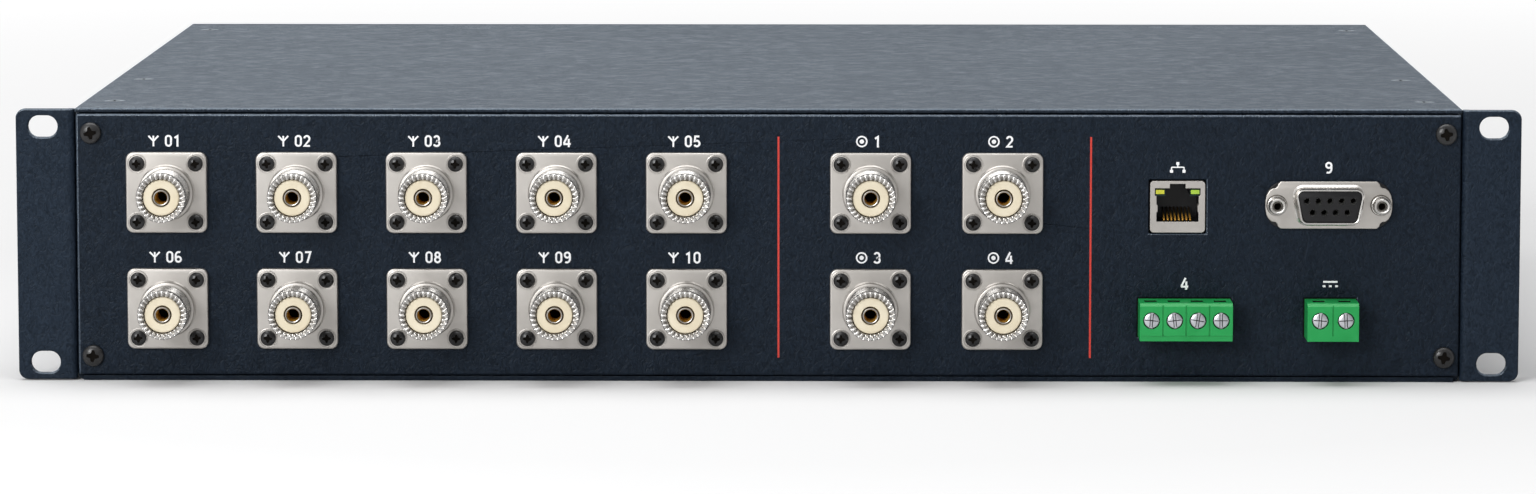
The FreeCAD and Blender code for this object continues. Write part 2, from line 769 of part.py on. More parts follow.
def connector_shell():
    """Flange, collar, threaded barrel with a toothed rim, and rear body. Flange's seat at y = 0."""
    shell = body("connector_shell")
    flange = sketch_on(shell, "XZ_Plane")
    draw_rectangle(flange, around("0", "flange_side"), around("0", "flange_side"))
    for side in SIDES:
        for up in SIDES:
            draw_circle(flange, f"({side} * flange_screw_pitch / 2)", f"({up} * flange_screw_pitch / 2)",
                        "(flange_screw_shank / 2 + screw_hole_fit)")
    feature(shell, "Pad", flange, Length="flange_thickness")
    dress(shell, "Fillet", "flange_corner", lambda edge: runs_along(edge, Y_AXIS)
          and near(abs(edge.CenterOfMass.x), "flange_side / 2"))
    bore, thread = "(insulator_diameter / 2)", "(thread_diameter / 2)"
    root, collar, rear = f"({thread} - undercut_depth)", "(collar_diameter / 2)", "(rear_body_diameter / 2)"
    collar_end = "(-flange_thickness - collar_length)"
    thread_start, tip = f"({collar_end} - undercut_length)", "(-flange_thickness - barrel_reach)"
    turned(shell, [(bore, "rear_body_length"), (rear, "rear_body_length"), (rear, "(-flange_thickness / 2)"),
                   (collar, "(-flange_thickness / 2)"), (collar, collar_end), (root, collar_end),
                   (root, thread_start), (thread, thread_start), (thread, f"({tip} + thread_depth)"),
                   (f"({thread} - thread_depth)", tip), (bore, tip)])
    cylinder(bore, "flange_thickness + rear_body_length + barrel_reach", "0", tip, "0", ALONG_Y,
             shell, "PartDesign::SubtractiveCylinder")
    notch_shape = sketch_on(shell, "YZ_Plane")
    half_gap = f"({bore} * {math.pi * TOOTH_GAP_SHARE} / rim_teeth)"
    outside_tip = f"({tip} - rim_tooth / 8)"
    draw_polygon(notch_shape, [(outside_tip, f"(-{half_gap})"), (outside_tip, half_gap),
                               (f"({tip} + rim_tooth)", "0")])
    notch = feature(shell, "Pocket", notch_shape)
    notch.Type = "ThroughAll"
    notch.Reversed = True
    teeth = shell.newObject("PartDesign::PolarPattern", "teeth")
    teeth.Originals = [notch]
    teeth.Axis = (origin_item(shell, "Y_Axis"), [""])
    teeth.Angle = 360
    teeth.Occurrences = int(SIZES["rim_teeth"])
    shell.Tip = teeth
    groove_shape = sketch_on(shell, "XY_Plane")
    ridge = f"(thread_pitch * {GROOVE_SHARE} / 2)"
    first = f"({thread_start} - thread_pitch)"
    outside = f"({thread} + thread_depth / 2)"
    draw_polygon(groove_shape, [(outside, f"({first} - {ridge})"), (outside, f"({first} + {ridge})"),
                                (f"({thread} - thread_depth)", first)])
    groove = shell.newObject("PartDesign::Groove", "groove")
    groove.Profile = groove_shape
    groove.ReferenceAxis = (groove_shape, ["V_Axis"])
    turns = int(number(f"({thread_start} - {tip}) / thread_pitch - 1"))
    thread_row = shell.newObject("PartDesign::LinearPattern", "thread")
    thread_row.Originals = [groove]
    thread_row.Direction = (groove_shape, ["V_Axis"])
    thread_row.Reversed = True
    thread_row.Occurrences = turns
    bind(thread_row, Length=f"{turns - 1} * thread_pitch")
    shell.Tip = thread_row
    return shell


def connector_insulator():
    tip = "(-flange_thickness - barrel_reach + insulator_recess)"
    piece = body("connector_insulator")
    hole, outside = "(contact_diameter / 2)", "(insulator_diameter / 2)"
    turned(piece, [(hole, "rear_body_length"), (outside, "rear_body_length"), (outside, tip), (hole, tip)])
    return piece


def connector_contact():
    """A tube that takes the plug's pin, with a solder tail behind."""
    tip = "(-flange_thickness - barrel_reach + insulator_recess)"
    bore_end, tail_end = f"({tip} + contact_bore_depth)", "(rear_body_length + contact_tail_length)"
    piece = body("connector_contact")
    turned(piece, [("0", bore_end), ("contact_bore / 2", bore_end), ("contact_bore / 2", tip),
                   ("contact_diameter / 2", tip), ("contact_diameter / 2", "rear_body_length"),
                   ("contact_tail_diameter / 2", "rear_body_length"), ("contact_tail_diameter / 2", tail_end),
                   ("0", tail_end)])
    return piece


def flange_nut():
    """A hexagon nut with its seat at y = 0."""
    prism = doc.addObject("Part::Prism", "nut_prism")
    prism.Polygon = 6
    prism.Placement.Rotation = ALONG_Y
    bind(prism, Circumradius=f"flange_nut_width / {math.sqrt(3)}", Height="flange_nut_height")
    hole = cylinder("flange_screw_shank / 2 + thread_fit", "flange_nut_height * 3", "0",
                    "(-flange_nut_height)", "0", ALONG_Y)
    return boolean("Cut", prism, hole)


def coax_jumper(name, run, z):
    """A stiff coaxial lead from a contact's tail, at the origin, back and down to the matrix board."""
    radius, drop = "(jumper_diameter / 2)", f"({z} - {MATRIX_TOP} - jumper_bend)"
    straight = cylinder(radius, run, turn=ALONG_Y)
    bend = doc.addObject("Part::Torus", name + "_bend")
    bend.Placement.Rotation = FreeCAD.Rotation(Y_AXIS, Z_AXIS, X_AXIS, "XYZ")
    bind(bend, Radius1="jumper_bend", Radius2=radius)
    bend.Angle3 = 90
    put(bend, "0", run, "(-jumper_bend)")
    down = cylinder(radius, drop, "0", f"({run} + jumper_bend)", f"(-jumper_bend - {drop})")
    return boolean("Fuse", straight, bend, down)


def coaxial_sockets():
    shell, insulator, contact = connector_shell(), connector_insulator(), connector_contact()
    for name, x, z in socket_places():
        placed = doc.addObject("Part::Compound", name)
        placed.Links = [shell]
        node(name, put(placed, x, FRONT, z))
    seats = [vector(x, FRONT, z) for name, x, z in socket_places()]
    copies("connector_insulators", [(insulator, seats)])
    copies("connector_contacts", [(contact, seats)])
    reach = number("flange_screw_pitch / 2")
    corners = [seat + FreeCAD.Vector(side * reach, 0, up * reach)
               for seat in seats for side in SIDES for up in SIDES]
    face, inner = vector(0, "-flange_thickness", 0), vector(0, "front_thickness", 0)
    copies("flange_screws", [(pan_screw("flange"), [corner + face for corner in corners])])
    copies("flange_nuts", [(flange_nut(), [corner + inner for corner in corners])])
    tail = vector(0, "rear_body_length + contact_tail_length", 0)
    rows = [(coax_jumper(name, f"{name}_jumper_run", f"{name}_row_z"),
             [vector(x, FRONT, z) + tail for label, x, z in socket_places() if z == f"{name}_row_z"])
            for name in ("lower", "upper")]
    copies("coax_jumpers", rows)


# Network socket

LAN_LEFT, LAN_RIGHT = around(LAN_X, "lan_width")
LAN_BOTTOM, LAN_TOP = around("lan_z", "lan_height")
LAN_FACE = f"({FRONT} - lan_proud)"
LAN_FLOOR = f"({LAN_BOTTOM} + lan_bottom_border)"
LAN_NOTCH_TOP = f"({LAN_TOP} - lan_top_border)"
LAN_SHELF_TOP = f"({LAN_NOTCH_TOP} - lan_notch_height)"
LAN_SHELF = f"({LAN_SHELF_TOP} - lan_light_shelf_height)"
LAN_CAVITY_END = f"({LAN_FACE} + lan_cavity_depth)"


def stepped_mouth(bottom, steps):
    """An outline about the network socket's middle, from its bottom up: widths and where each one ends."""
    right, level = [], bottom
    for width, top in steps:
        edge = f"({LAN_X} + {width} / 2)"
        right += [(edge, level), (edge, top)]
        level = top
    return right + [(f"(2 * {LAN_X} - {u})", v) for u, v in reversed(right)]


def lan_envelope(name, inset):
    """A round-cornered block as large as the socket's shield, smaller by an inset at the sides and front."""
    envelope = body(name)
    block(envelope, (f"({LAN_LEFT} + {inset})", f"({LAN_RIGHT} - {inset})"),
          (f"({LAN_FACE} + {inset})", INTERFACE_FRONT),
          (f"({LAN_BOTTOM} + {inset})", f"({LAN_TOP} - {inset})"))
    dress(envelope, "Fillet", f"(lan_corner - {inset})", lambda edge: runs_along(edge, Y_AXIS))
    return envelope


def lan_shield():
    outside = lan_envelope("lan_shield_block", "0")
    mouth = sketch_on(outside, "XZ_Plane", LAN_FACE)
    draw_polygon(mouth, stepped_mouth(LAN_FLOOR, [("lan_mouth_width", LAN_SHELF),
                                                  ("lan_light_shelf_width", LAN_SHELF_TOP),
                                                  ("lan_notch_width", LAN_NOTCH_TOP)]))
    feature(outside, "Pocket", mouth, Length="lan_shield_sheet * 2")
    return node("lan_shield", boolean("Cut", outside, lan_envelope("lan_shield_inside", "lan_shield_sheet")))


def lan_contact_outline():
    """Side view, in Y and Z, of a spring contact that rises to the back of the mouth and on to the board."""
    front, back = f"({LAN_FACE} + lan_contact_front)", f"({LAN_CAVITY_END} - lan_contact_back)"
    low, high = f"({LAN_FLOOR} + lan_contact_lift)", f"({LAN_FLOOR} + lan_contact_rise)"
    under, tip = f"({high} - lan_contact_width)", f"({low} + lan_contact_width)"
    return [(front, low), (f"({front} + lan_contact_width)", low), (back, under), (INTERFACE_FRONT, under),
            (INTERFACE_FRONT, high), (back, high), (front, tip)]


def lan_contacts():
    wires = []
    for i in range(LAN_CONTACTS):
        x = f"({LAN_X} + ({i} - {(LAN_CONTACTS - 1) / 2}) * lan_contact_pitch)"
        wire = body(f"lan_contact_{i + 1}")
        side_view = sketch_on(wire, "YZ_Plane", f"({x} - lan_contact_width / 2)")
        draw_polygon(side_view, lan_contact_outline())
        feature(wire, "Pad", side_view, Length="lan_contact_width")
        wires.append(wire)
    return gather("lan_contacts", wires)


def lan_lights():
    lights = []
    middle_z = f"({LAN_SHELF_TOP} - lan_light_shelf_height / 2)"
    for label, side in (("lan_light_green", 1), ("lan_light_amber", -1)):
        inset = "(lan_light_shelf_width / 2 - lan_light_width / 2 - lan_light_margin)"
        x = around(f"({LAN_X} + {side} * {inset})", "lan_light_width")
        y = (f"({LAN_FACE} + lan_light_recess)", f"({LAN_FACE} + lan_light_recess + lan_light_depth)")
        lamp = body(label)
        block(lamp, x, y, around(middle_z, "lan_light_height"))
        lights.append(node(label, lamp))
    return lights


def lan_housing(contacts, lights):
    shape = lan_envelope("lan_housing_block", "lan_shield_sheet")
    cavity = sketch_on(shape, "XZ_Plane", LAN_FACE)
    between_lights = "(lan_light_shelf_width - 2 * lan_light_width - 4 * lan_light_margin)"
    draw_polygon(cavity, stepped_mouth(LAN_FLOOR, [("lan_mouth_width", LAN_SHELF),
                                                   (between_lights, LAN_SHELF_TOP),
                                                   ("lan_notch_width", LAN_NOTCH_TOP)]))
    feature(shape, "Pocket", cavity, Length="lan_cavity_depth")
    return node("lan_housing", boolean("Cut", shape, boolean("Fuse", contacts, *lights)))


# Serial socket

def d_outline(inset, x=SERIAL_X, z="serial_z"):
    """The socket's tapered outline, wider at the top, smaller all round by an inset."""
    half_top = f"(serial_shell_width / 2 - {inset})"
    half_bottom = f"({half_top} - serial_shell_taper)"
    low, high = around(z, f"serial_shell_height - 2 * {inset}")
    return [(f"({x} - {half_bottom})", low), (f"({x} + {half_bottom})", low),
            (f"({x} + {half_top})", high), (f"({x} - {half_top})", high)]


def d_prism(owner, inset, start, length, corner):
    sketch = sketch_on(owner, "XZ_Plane", start)
    draw_polygon(sketch, d_outline(inset))
    feature(owner, "Pad", sketch, Length=length)
    dress(owner, "Fillet", corner, lambda edge: runs_along(edge, Y_AXIS))


SERIAL_FACE = f"({FRONT} - 2 * serial_plate)"
SERIAL_TIP = f"({SERIAL_FACE} - serial_shell_reach)"


def serial_pin_places():
    return [(f"({SERIAL_X} + ({i} - {(count - 1) / 2}) * serial_pin_pitch)",
             f"(serial_z + {up} * serial_pin_rows / 2)") for count, up in SERIAL_ROWS for i in range(count)]


def serial_standoff_places():
    return [f"({SERIAL_X} + {side} * serial_standoff_pitch / 2)" for side in SIDES]


def serial_shell():
    flange = body("serial_flange")
    plate = sketch_on(flange, "XZ_Plane", FRONT)
    draw_rectangle(plate, around(SERIAL_X, "serial_flange_width"),
                   around("serial_z", "serial_flange_height"))
    feature(flange, "Pad", plate, Length="2 * serial_plate")
    dress(flange, "Fillet", "serial_corner", lambda edge: runs_along(edge, Y_AXIS))
    for side in SIDES:
        for up in SIDES:
            x = f"({SERIAL_X} + {side} * (serial_flange_width - serial_notch_width) / 2)"
            z = f"(serial_z + {up} * serial_flange_height / 2)"
            block(flange, around(x, "serial_notch_width"), (SERIAL_FACE, f"({FRONT} - serial_plate)"),
                  around(z, "serial_notch_height * 2"), cut=True)
    holes = sketch_on(flange, "XZ_Plane")
    for x in serial_standoff_places():
        draw_circle(holes, x, "serial_z", "(serial_standoff_stud / 2 + thread_fit)")
    through_pocket(flange, holes)
    rim = body("serial_rim")
    d_prism(rim, "0", FRONT, "2 * serial_plate + serial_shell_reach", "serial_shell_corner")
    inner = body("serial_inner")
    right_through = f"2 * serial_plate + serial_shell_reach + 2 * {PAST}"
    d_prism(inner, "serial_shell_wall", f"({FRONT} + {PAST})", right_through,
            "(serial_shell_corner - serial_shell_wall)")
    return node("serial_shell", boolean("Cut", boolean("Fuse", flange, rim), inner))


def serial_insulator():
    face = f"({SERIAL_TIP} + serial_insulator_recess)"
    core = body("serial_core")
    d_prism(core, "serial_shell_wall", INTERFACE_FRONT, f"{INTERFACE_FRONT} - {face}",
            "(serial_shell_corner - serial_shell_wall)")
    holes = sketch_on(core, "XZ_Plane")
    for x, z in serial_pin_places():
        draw_circle(holes, x, z, "(serial_pin_hole / 2)")
    through_pocket(core, holes)
    return node("serial_insulator", core)


def serial_contacts():
    """Tubes that take the plug's pins, each filling its hole from a little behind the face to the board."""
    start = f"({SERIAL_TIP} + serial_insulator_recess + serial_contact_recess)"
    pieces = []
    for x, z in serial_pin_places():
        outer = cylinder("serial_pin_hole / 2", f"{INTERFACE_FRONT} - {start}", x, start, z, ALONG_Y)
        bore = cylinder("serial_contact_bore / 2", "serial_shell_reach", x, start, z, ALONG_Y)
        pieces.append(boolean("Cut", outer, bore))
    return gather("serial_contacts", pieces)


def serial_standoffs():
    """Threaded posts that the plug's screws go into, each with a stud through the panel and a nut behind."""
    pieces = []
    top = f"({SERIAL_FACE} - serial_standoff_height)"
    for x in serial_standoff_places():
        post = cylinder("serial_standoff_diameter / 2", "serial_standoff_height", x, top, "serial_z", ALONG_Y)
        through = "2 * serial_plate + front_thickness + 2 * serial_nut_height"
        stud = cylinder("serial_standoff_stud / 2", through, x, SERIAL_FACE, "serial_z", ALONG_Y)
        nut = cylinder("serial_standoff_diameter / 2", "serial_nut_height", x, PANEL_BACK, "serial_z",
                       ALONG_Y)
        bore = cylinder("serial_standoff_bore / 2", "serial_standoff_height", x,
                        f"({top} - serial_standoff_floor)", "serial_z", ALONG_Y)
        pieces.append(boolean("Cut", boolean("Fuse", post, stud, nut), bore))
    return gather("serial_standoffs", pieces)


# Terminal blocks: places along Y, from the block's face to the back of the clamp's chamber

HEAD_SEAT = f"({TERMINAL_FACE} + terminal_head_inset + terminal_head_height)"
CHAMBER_FRONT = f"({HEAD_SEAT} + terminal_shoulder)"
CLAMP_OPEN = f"({CHAMBER_FRONT} + terminal_run_fit + clamp_travel)"
BAR_FRONT = f"({CLAMP_OPEN} + clamp_front_wall + terminal_run_fit)"
BAR_BACK = f"({BAR_FRONT} + bar_thickness)"
CLAMP_REAR = f"({BAR_BACK} + wire_gap)"
CLAMP_END = f"({CLAMP_REAR} + clamp_rear_wall)"
CHAMBER_FLOOR = f"({TERMINAL_SCREW_Z} - clamp_height / 2 - terminal_run_fit)"
BAR_LEG_TOP = f"({CHAMBER_FLOOR} - bar_drop)"


def terminal_bar(x):
    """A current bar: upright behind the screw's tip, then back to the board under the clamp."""
    across = around(x, "bar_width")
    leg = (f"({BAR_LEG_TOP} - bar_thickness)", BAR_LEG_TOP)
    top = f"({TERMINAL_SCREW_Z} + clamp_height / 2 - bar_headroom)"
    upright = solid_block(across, (BAR_FRONT, BAR_BACK), (leg[0], top))
    return boolean("Fuse", upright, solid_block(across, (BAR_FRONT, INTERFACE_FRONT), leg))


def terminal_screw(name, x):
    """A slotted cross-head screw that turns in place and stands at its own pole."""
    screw = body(name)
    head, shank = "(terminal_head_diameter / 2)", "(terminal_shank / 2)"
    seat = "(-terminal_run_fit / 2)"
    top, tip = f"({seat} - terminal_head_height)", f"({BAR_FRONT} - {HEAD_SEAT} - terminal_run_fit)"
    turned(screw, [("0", tip), (shank, tip), (shank, seat), (head, seat), (head, top), ("0", top)])
    wide, narrow = around("0", f"terminal_head_diameter + {PAST}"), around("0", "terminal_slot_width")
    depth = (f"({top} - {PAST})", f"({top} + terminal_slot_depth)")
    block(screw, wide, depth, narrow, cut=True)
    block(screw, narrow, depth, wide, cut=True)
    return node(name, put(screw, x, HEAD_SEAT, TERMINAL_SCREW_Z))


def terminal_clamp(name, x):
    """A rising clamp: a loop round the bar, threaded on the screw by its front wall."""
    clamp = body(name)
    length = f"(clamp_front_wall + terminal_run_fit + bar_thickness + wire_gap + clamp_rear_wall)"
    block(clamp, around("0", "clamp_width"), ("0", length), around("0", "clamp_height"))
    block(clamp, around("0", "clamp_width - 2 * clamp_side_wall"),
          ("clamp_front_wall", f"({length} - clamp_rear_wall)"),
          around("0", f"clamp_height + {PAST}"), cut=True)
    cylinder("terminal_shank / 2 + terminal_thread_fit", "clamp_front_wall * 1.5", "0",
             "(-clamp_front_wall / 4)", "0", ALONG_Y, clamp, "PartDesign::SubtractiveCylinder")
    return node(name, put(clamp, x, CLAMP_OPEN, TERMINAL_SCREW_Z))


def terminal_housing(name, poles, bars):
    """The block's plastic: a well, a chamber and a wire entry for each pole, grooves between the poles."""
    kind = name.split("_")[0]
    housing = body(name + "_block")
    across = around(TERMINAL_X[kind], f"{poles} * {kind}_pole_pitch")
    foot, top = around("terminal_z", "terminal_height")
    block(housing, across, (TERMINAL_FACE, INTERFACE_FRONT), (foot, top))
    dress(housing, "Chamfer", "terminal_chamfer", lambda edge: runs_along(edge, X_AXIS)
          and near(edge.CenterOfMass.y, TERMINAL_FACE) and near(edge.CenterOfMass.z, top))
    if kind == "data":
        block(housing, (f"({across[0]} - {PAST})", f"({across[1]} + {PAST})"),
              (f"({TERMINAL_FACE} - {PAST})", f"({TERMINAL_FACE} + terminal_ledge_depth)"),
              (f"({foot} - {PAST})", f"({foot} + terminal_ledge_height)"), cut=True)
    xs = [x for block_kind, number_, x in pole_places() if block_kind == kind]
    for x in xs[1:]:
        block(housing, around(f"({x} - {kind}_pole_pitch / 2)", "terminal_groove"),
              (f"({TERMINAL_FACE} - {PAST})", f"({TERMINAL_FACE} + terminal_groove)"),
              (f"({foot} + terminal_ledge_height)", f"({top} + {PAST})"), cut=True)
    wells = sketch_on(housing, "XZ_Plane", TERMINAL_FACE)
    shanks = sketch_on(housing, "XZ_Plane", TERMINAL_FACE)
    chambers = sketch_on(housing, "XZ_Plane", CHAMBER_FRONT)
    entries = sketch_on(housing, "XY_Plane", top)
    for x in xs:
        draw_circle(wells, x, TERMINAL_SCREW_Z, "(terminal_head_diameter / 2 + terminal_well_fit)")
        draw_circle(shanks, x, TERMINAL_SCREW_Z, "(terminal_shank / 2 + terminal_run_fit)")
        draw_rectangle(chambers, around(x, "clamp_width + 2 * terminal_run_fit"),
                       around(TERMINAL_SCREW_Z, "clamp_height + 2 * terminal_run_fit"))
        draw_rectangle(entries, around(x, "bar_width"), (BAR_BACK, CLAMP_REAR))
    feature(housing, "Pocket", wells, Length=f"{HEAD_SEAT} - {TERMINAL_FACE}")
    feature(housing, "Pocket", shanks, Length=f"{CHAMBER_FRONT} - {TERMINAL_FACE}")
    feature(housing, "Pocket", chambers, Length=f"{CLAMP_END} + terminal_run_fit - {CHAMBER_FRONT}")
    feature(housing, "Pocket", entries, Length=f"{top} - {TERMINAL_SCREW_Z}")
    return node(name, boolean("Cut", housing, boolean("Fuse", *bars)))


def terminal_blocks():
    bars = {"data": [], "power": []}
    for kind, number_, x in pole_places():
        terminal_screw(f"{kind}_terminal_screw_{number_}", x)
        terminal_clamp(f"{kind}_terminal_clamp_{number_}", x)
        bars[kind].append(terminal_bar(x))
    terminal_housing("data_terminal_housing", DATA_POLES, bars["data"])
    terminal_housing("power_terminal_housing", POWER_POLES, bars["power"])
    gather("terminal_bars", bars["data"] + bars["power"])


# Boards

def interface_board():
    board = body("interface_board")
    outline = sketch_on(board, "XZ_Plane", INTERFACE_BACK)
    draw_rectangle(outline, (INTERFACE_LEFT, INTERFACE_RIGHT), ("interface_board_bottom", INTERFACE_TOP))
    for x, z in interface_hole_places():
        draw_circle(outline, x, z, "(board_screw_shank / 2 + screw_hole_fit)")
    feature(board, "Pad", outline, Length="board_thickness")
    return node("interface_board", board)


def matrix_board():
    board = body("matrix_board")
    outline = sketch_on(board, "XY_Plane", MATRIX_BOTTOM)
    draw_rectangle(outline, (MATRIX_LEFT, MATRIX_RIGHT), (MATRIX_FRONT, MATRIX_BACK))
    for x, y in matrix_hole_places():
        draw_circle(outline, x, y, "(board_screw_shank / 2 + screw_hole_fit)")
    feature(board, "Pad", outline, Length="board_thickness")
    return node("matrix_board", board)


def spacer(x, y, z, length, turn=None):
    """A threaded spacer, blind for most of its length from its far end."""
    post = cylinder("spacer_width / 2", length, x, y, z, turn)
    hole = "board_screw_shank / 2 + thread_fit"
    depth = "(board_screw_length - board_thickness + board_screw_tip_gap)"
    start = f"{length} - {depth}"
    y, z = (f"({y} + {start})", z) if turn else (y, f"({z} + {start})")
    return boolean("Cut", post, cylinder(hole, f"{depth} + {PAST}", x, y, z, turn))


def board_fixings():
    gather("interface_standoffs", [spacer(x, PANEL_BACK, z, f"({INTERFACE_FRONT} - {PANEL_BACK})", ALONG_Y)
                                   for x, z in interface_hole_places()])
    gather("matrix_spacers", [spacer(x, y, "tray_sheet", "matrix_spacer_height")
                              for x, y in matrix_hole_places()])
    screw = pan_screw("board")
    upright = [turned_copy(screw, x, INTERFACE_BACK, z, Z_AXIS, 180) for x, z in interface_hole_places()]
    flat = [turned_copy(screw, x, y, MATRIX_TOP, X_AXIS, -90) for x, y in matrix_hole_places()]
    gather("board_screws", upright + flat)


def matrix_relays():
    """A sealed relay at each crossing of an antenna and a radio."""
    relay = solid_block(around("0", "relay_width"), around("0", "relay_length"), ("0", "relay_height"))
    columns, rows = RELAY_GRID
    places = [vector(f"{MATRIX_LEFT} + relay_first_x + {i} * relay_pitch_x",
                     f"{MATRIX_FRONT} + relay_first_y + {j} * relay_pitch_y",
                     MATRIX_TOP) for i in range(columns) for j in range(rows)]
    return copies("matrix_relays", [(relay, places)])


def ribbon_cable():
    """A flat cable between two plugs: back from the interface board, then down to the matrix board."""
    across = around(RIBBON_X, "ribbon_width")
    outer = "jumper_bend"
    inner = f"({outer} - ribbon_thickness)"
    start = f"({INTERFACE_BACK} + ribbon_plug_depth)"
    bend_y = f"({start} + ribbon_run)"
    high = ("(ribbon_z - ribbon_thickness / 2)", "(ribbon_z + ribbon_thickness / 2)")
    centre_z = f"({high[1]} - {outer})"
    foot = f"({MATRIX_TOP} + ribbon_plug_depth)"
    level = solid_block(across, (start, bend_y), high)
    elbow = []
    for radius in (outer, inner):
        quarter = cylinder(radius, "ribbon_width", across[0], bend_y, centre_z)
        quarter.Placement.Rotation = FreeCAD.Rotation(Y_AXIS, Z_AXIS, X_AXIS, "XYZ")
        quarter.Angle = 90
        elbow.append(quarter)
    down = solid_block(across, (f"({bend_y} + {inner})", f"({bend_y} + {outer})"), (foot, centre_z))
    strip = boolean("Fuse", level, boolean("Cut", *elbow), down)
    plug = around(RIBBON_X, "ribbon_width + 2 * ribbon_plug_end")
    rear_plug = solid_block(plug, (INTERFACE_BACK, start), around("ribbon_z", "ribbon_plug_width"))
    strip_y = f"({bend_y} + {outer} - ribbon_thickness / 2)"
    floor_plug = solid_block(plug, around(strip_y, "ribbon_plug_width"), (MATRIX_TOP, foot))
    return gather("ribbon_cable", [strip, rear_plug, floor_plug])


def controller_chip():
    chip = body("controller_chip")
    block(chip, around(f"({INTERFACE_RIGHT} - chip_x)", "chip_side"),
          (INTERFACE_BACK, f"({INTERFACE_BACK} + chip_height)"), around("chip_z", "chip_side"))
    return node("controller_chip", chip)


def check(thing):
    """Stops the build if any object failed or a sub-part has no sound solid."""
    bad = [item.Name for item in doc.Objects if {"Invalid", "Error"} & set(item.State)]
    if bad:
        raise RuntimeError(f"failed objects: {bad}")
    for item in thing:
        if item.Shape.isNull() or not item.Shape.isValid() or not item.Shape.Solids:
            raise RuntimeError(f"{item.Label} has no sound solid")


def main():
    base_tray()
    top_cover()
    front_panel()
    rear_panel()
    rack_ear("rack_ear_right", 1)
    rack_ear("rack_ear_left", -1)
    case_screws()
    coaxial_sockets()
    lan_shield()
    lights = lan_lights()
    lan_housing(lan_contacts(), lights)
    serial_shell()
    serial_insulator()
    serial_contacts()
    serial_standoffs()
    terminal_blocks()
    interface_board()
    matrix_board()
    board_fixings()
    matrix_relays()
    ribbon_cable()
    controller_chip()
    doc.recompute()
    check(nodes)
    os.makedirs("parts", exist_ok=True)
    for item in nodes:
        item.Shape.exportStep(f"parts/{item.Label}.step")


main()
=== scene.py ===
"""The looks of a 2U coaxial antenna switch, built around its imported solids.

Lengths are in millimetres unless a line turns them into metres with MM. X runs to the right, Y from
the front to the back and Z up. A profile is a list of pairs: a radius and a place along Y.
"""
import math

import bmesh
import bpy
from mathutils import Matrix, Vector


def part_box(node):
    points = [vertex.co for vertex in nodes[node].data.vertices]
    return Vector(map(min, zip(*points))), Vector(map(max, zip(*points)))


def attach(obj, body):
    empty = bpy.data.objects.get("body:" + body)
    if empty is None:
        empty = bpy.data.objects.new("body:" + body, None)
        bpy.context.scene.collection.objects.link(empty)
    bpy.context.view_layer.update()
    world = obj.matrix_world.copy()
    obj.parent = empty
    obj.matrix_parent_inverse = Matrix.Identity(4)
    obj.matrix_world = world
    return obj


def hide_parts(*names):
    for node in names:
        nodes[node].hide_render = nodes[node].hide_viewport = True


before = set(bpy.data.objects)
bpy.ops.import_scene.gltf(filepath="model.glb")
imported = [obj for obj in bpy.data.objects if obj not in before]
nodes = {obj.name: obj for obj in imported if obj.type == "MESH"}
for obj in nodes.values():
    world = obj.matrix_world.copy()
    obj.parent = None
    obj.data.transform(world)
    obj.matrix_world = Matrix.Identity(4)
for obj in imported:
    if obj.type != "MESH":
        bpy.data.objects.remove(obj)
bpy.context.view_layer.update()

MM = 0.001
CASE = "case"
WHITE = (1.0, 1.0, 1.0, 1.0)


def middle(node):
    """The middle of a solid's box."""
    low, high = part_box(node)
    return (low + high) / 2 / MM


def axes(names):
    """Where the axes of solids that point along Y cross the plane of X and Z."""
    return [(middle(name).x, 0.0, middle(name).z) for name in names]


# Node trees: sockets with arithmetic, for materials and for geometry

class Value:
    """A socket whose operators add Math nodes to its tree."""

    def __init__(self, tree, socket):
        self.tree, self.socket = tree, socket

    def math(self, operation, *others, clamp=False):
        return self.tree.add("ShaderNodeMath", dict(enumerate((self, *others))),
                             operation=operation, use_clamp=clamp)

    def __add__(self, other):
        return self.math("ADD", other)

    def __sub__(self, other):
        return self.math("SUBTRACT", other)

    def __rsub__(self, other):
        return self.tree.add("ShaderNodeMath", {0: other, 1: self}, operation="SUBTRACT")

    def __mul__(self, other):
        return self.math("MULTIPLY", other)

    def __truediv__(self, other):
        return self.math("DIVIDE", other)

    def __gt__(self, other):
        return self.math("GREATER_THAN", other)

    def __abs__(self):
        return self.math("ABSOLUTE")

    __radd__, __rmul__ = __add__, __mul__

    def held(self):
        """Kept between 0 and 1."""
        return self.math("ADD", 0.0, clamp=True)

    def step(self, low, high):
        """0 below low, 1 above high, and straight between them."""
        return ((self - low) / (high - low)).held()


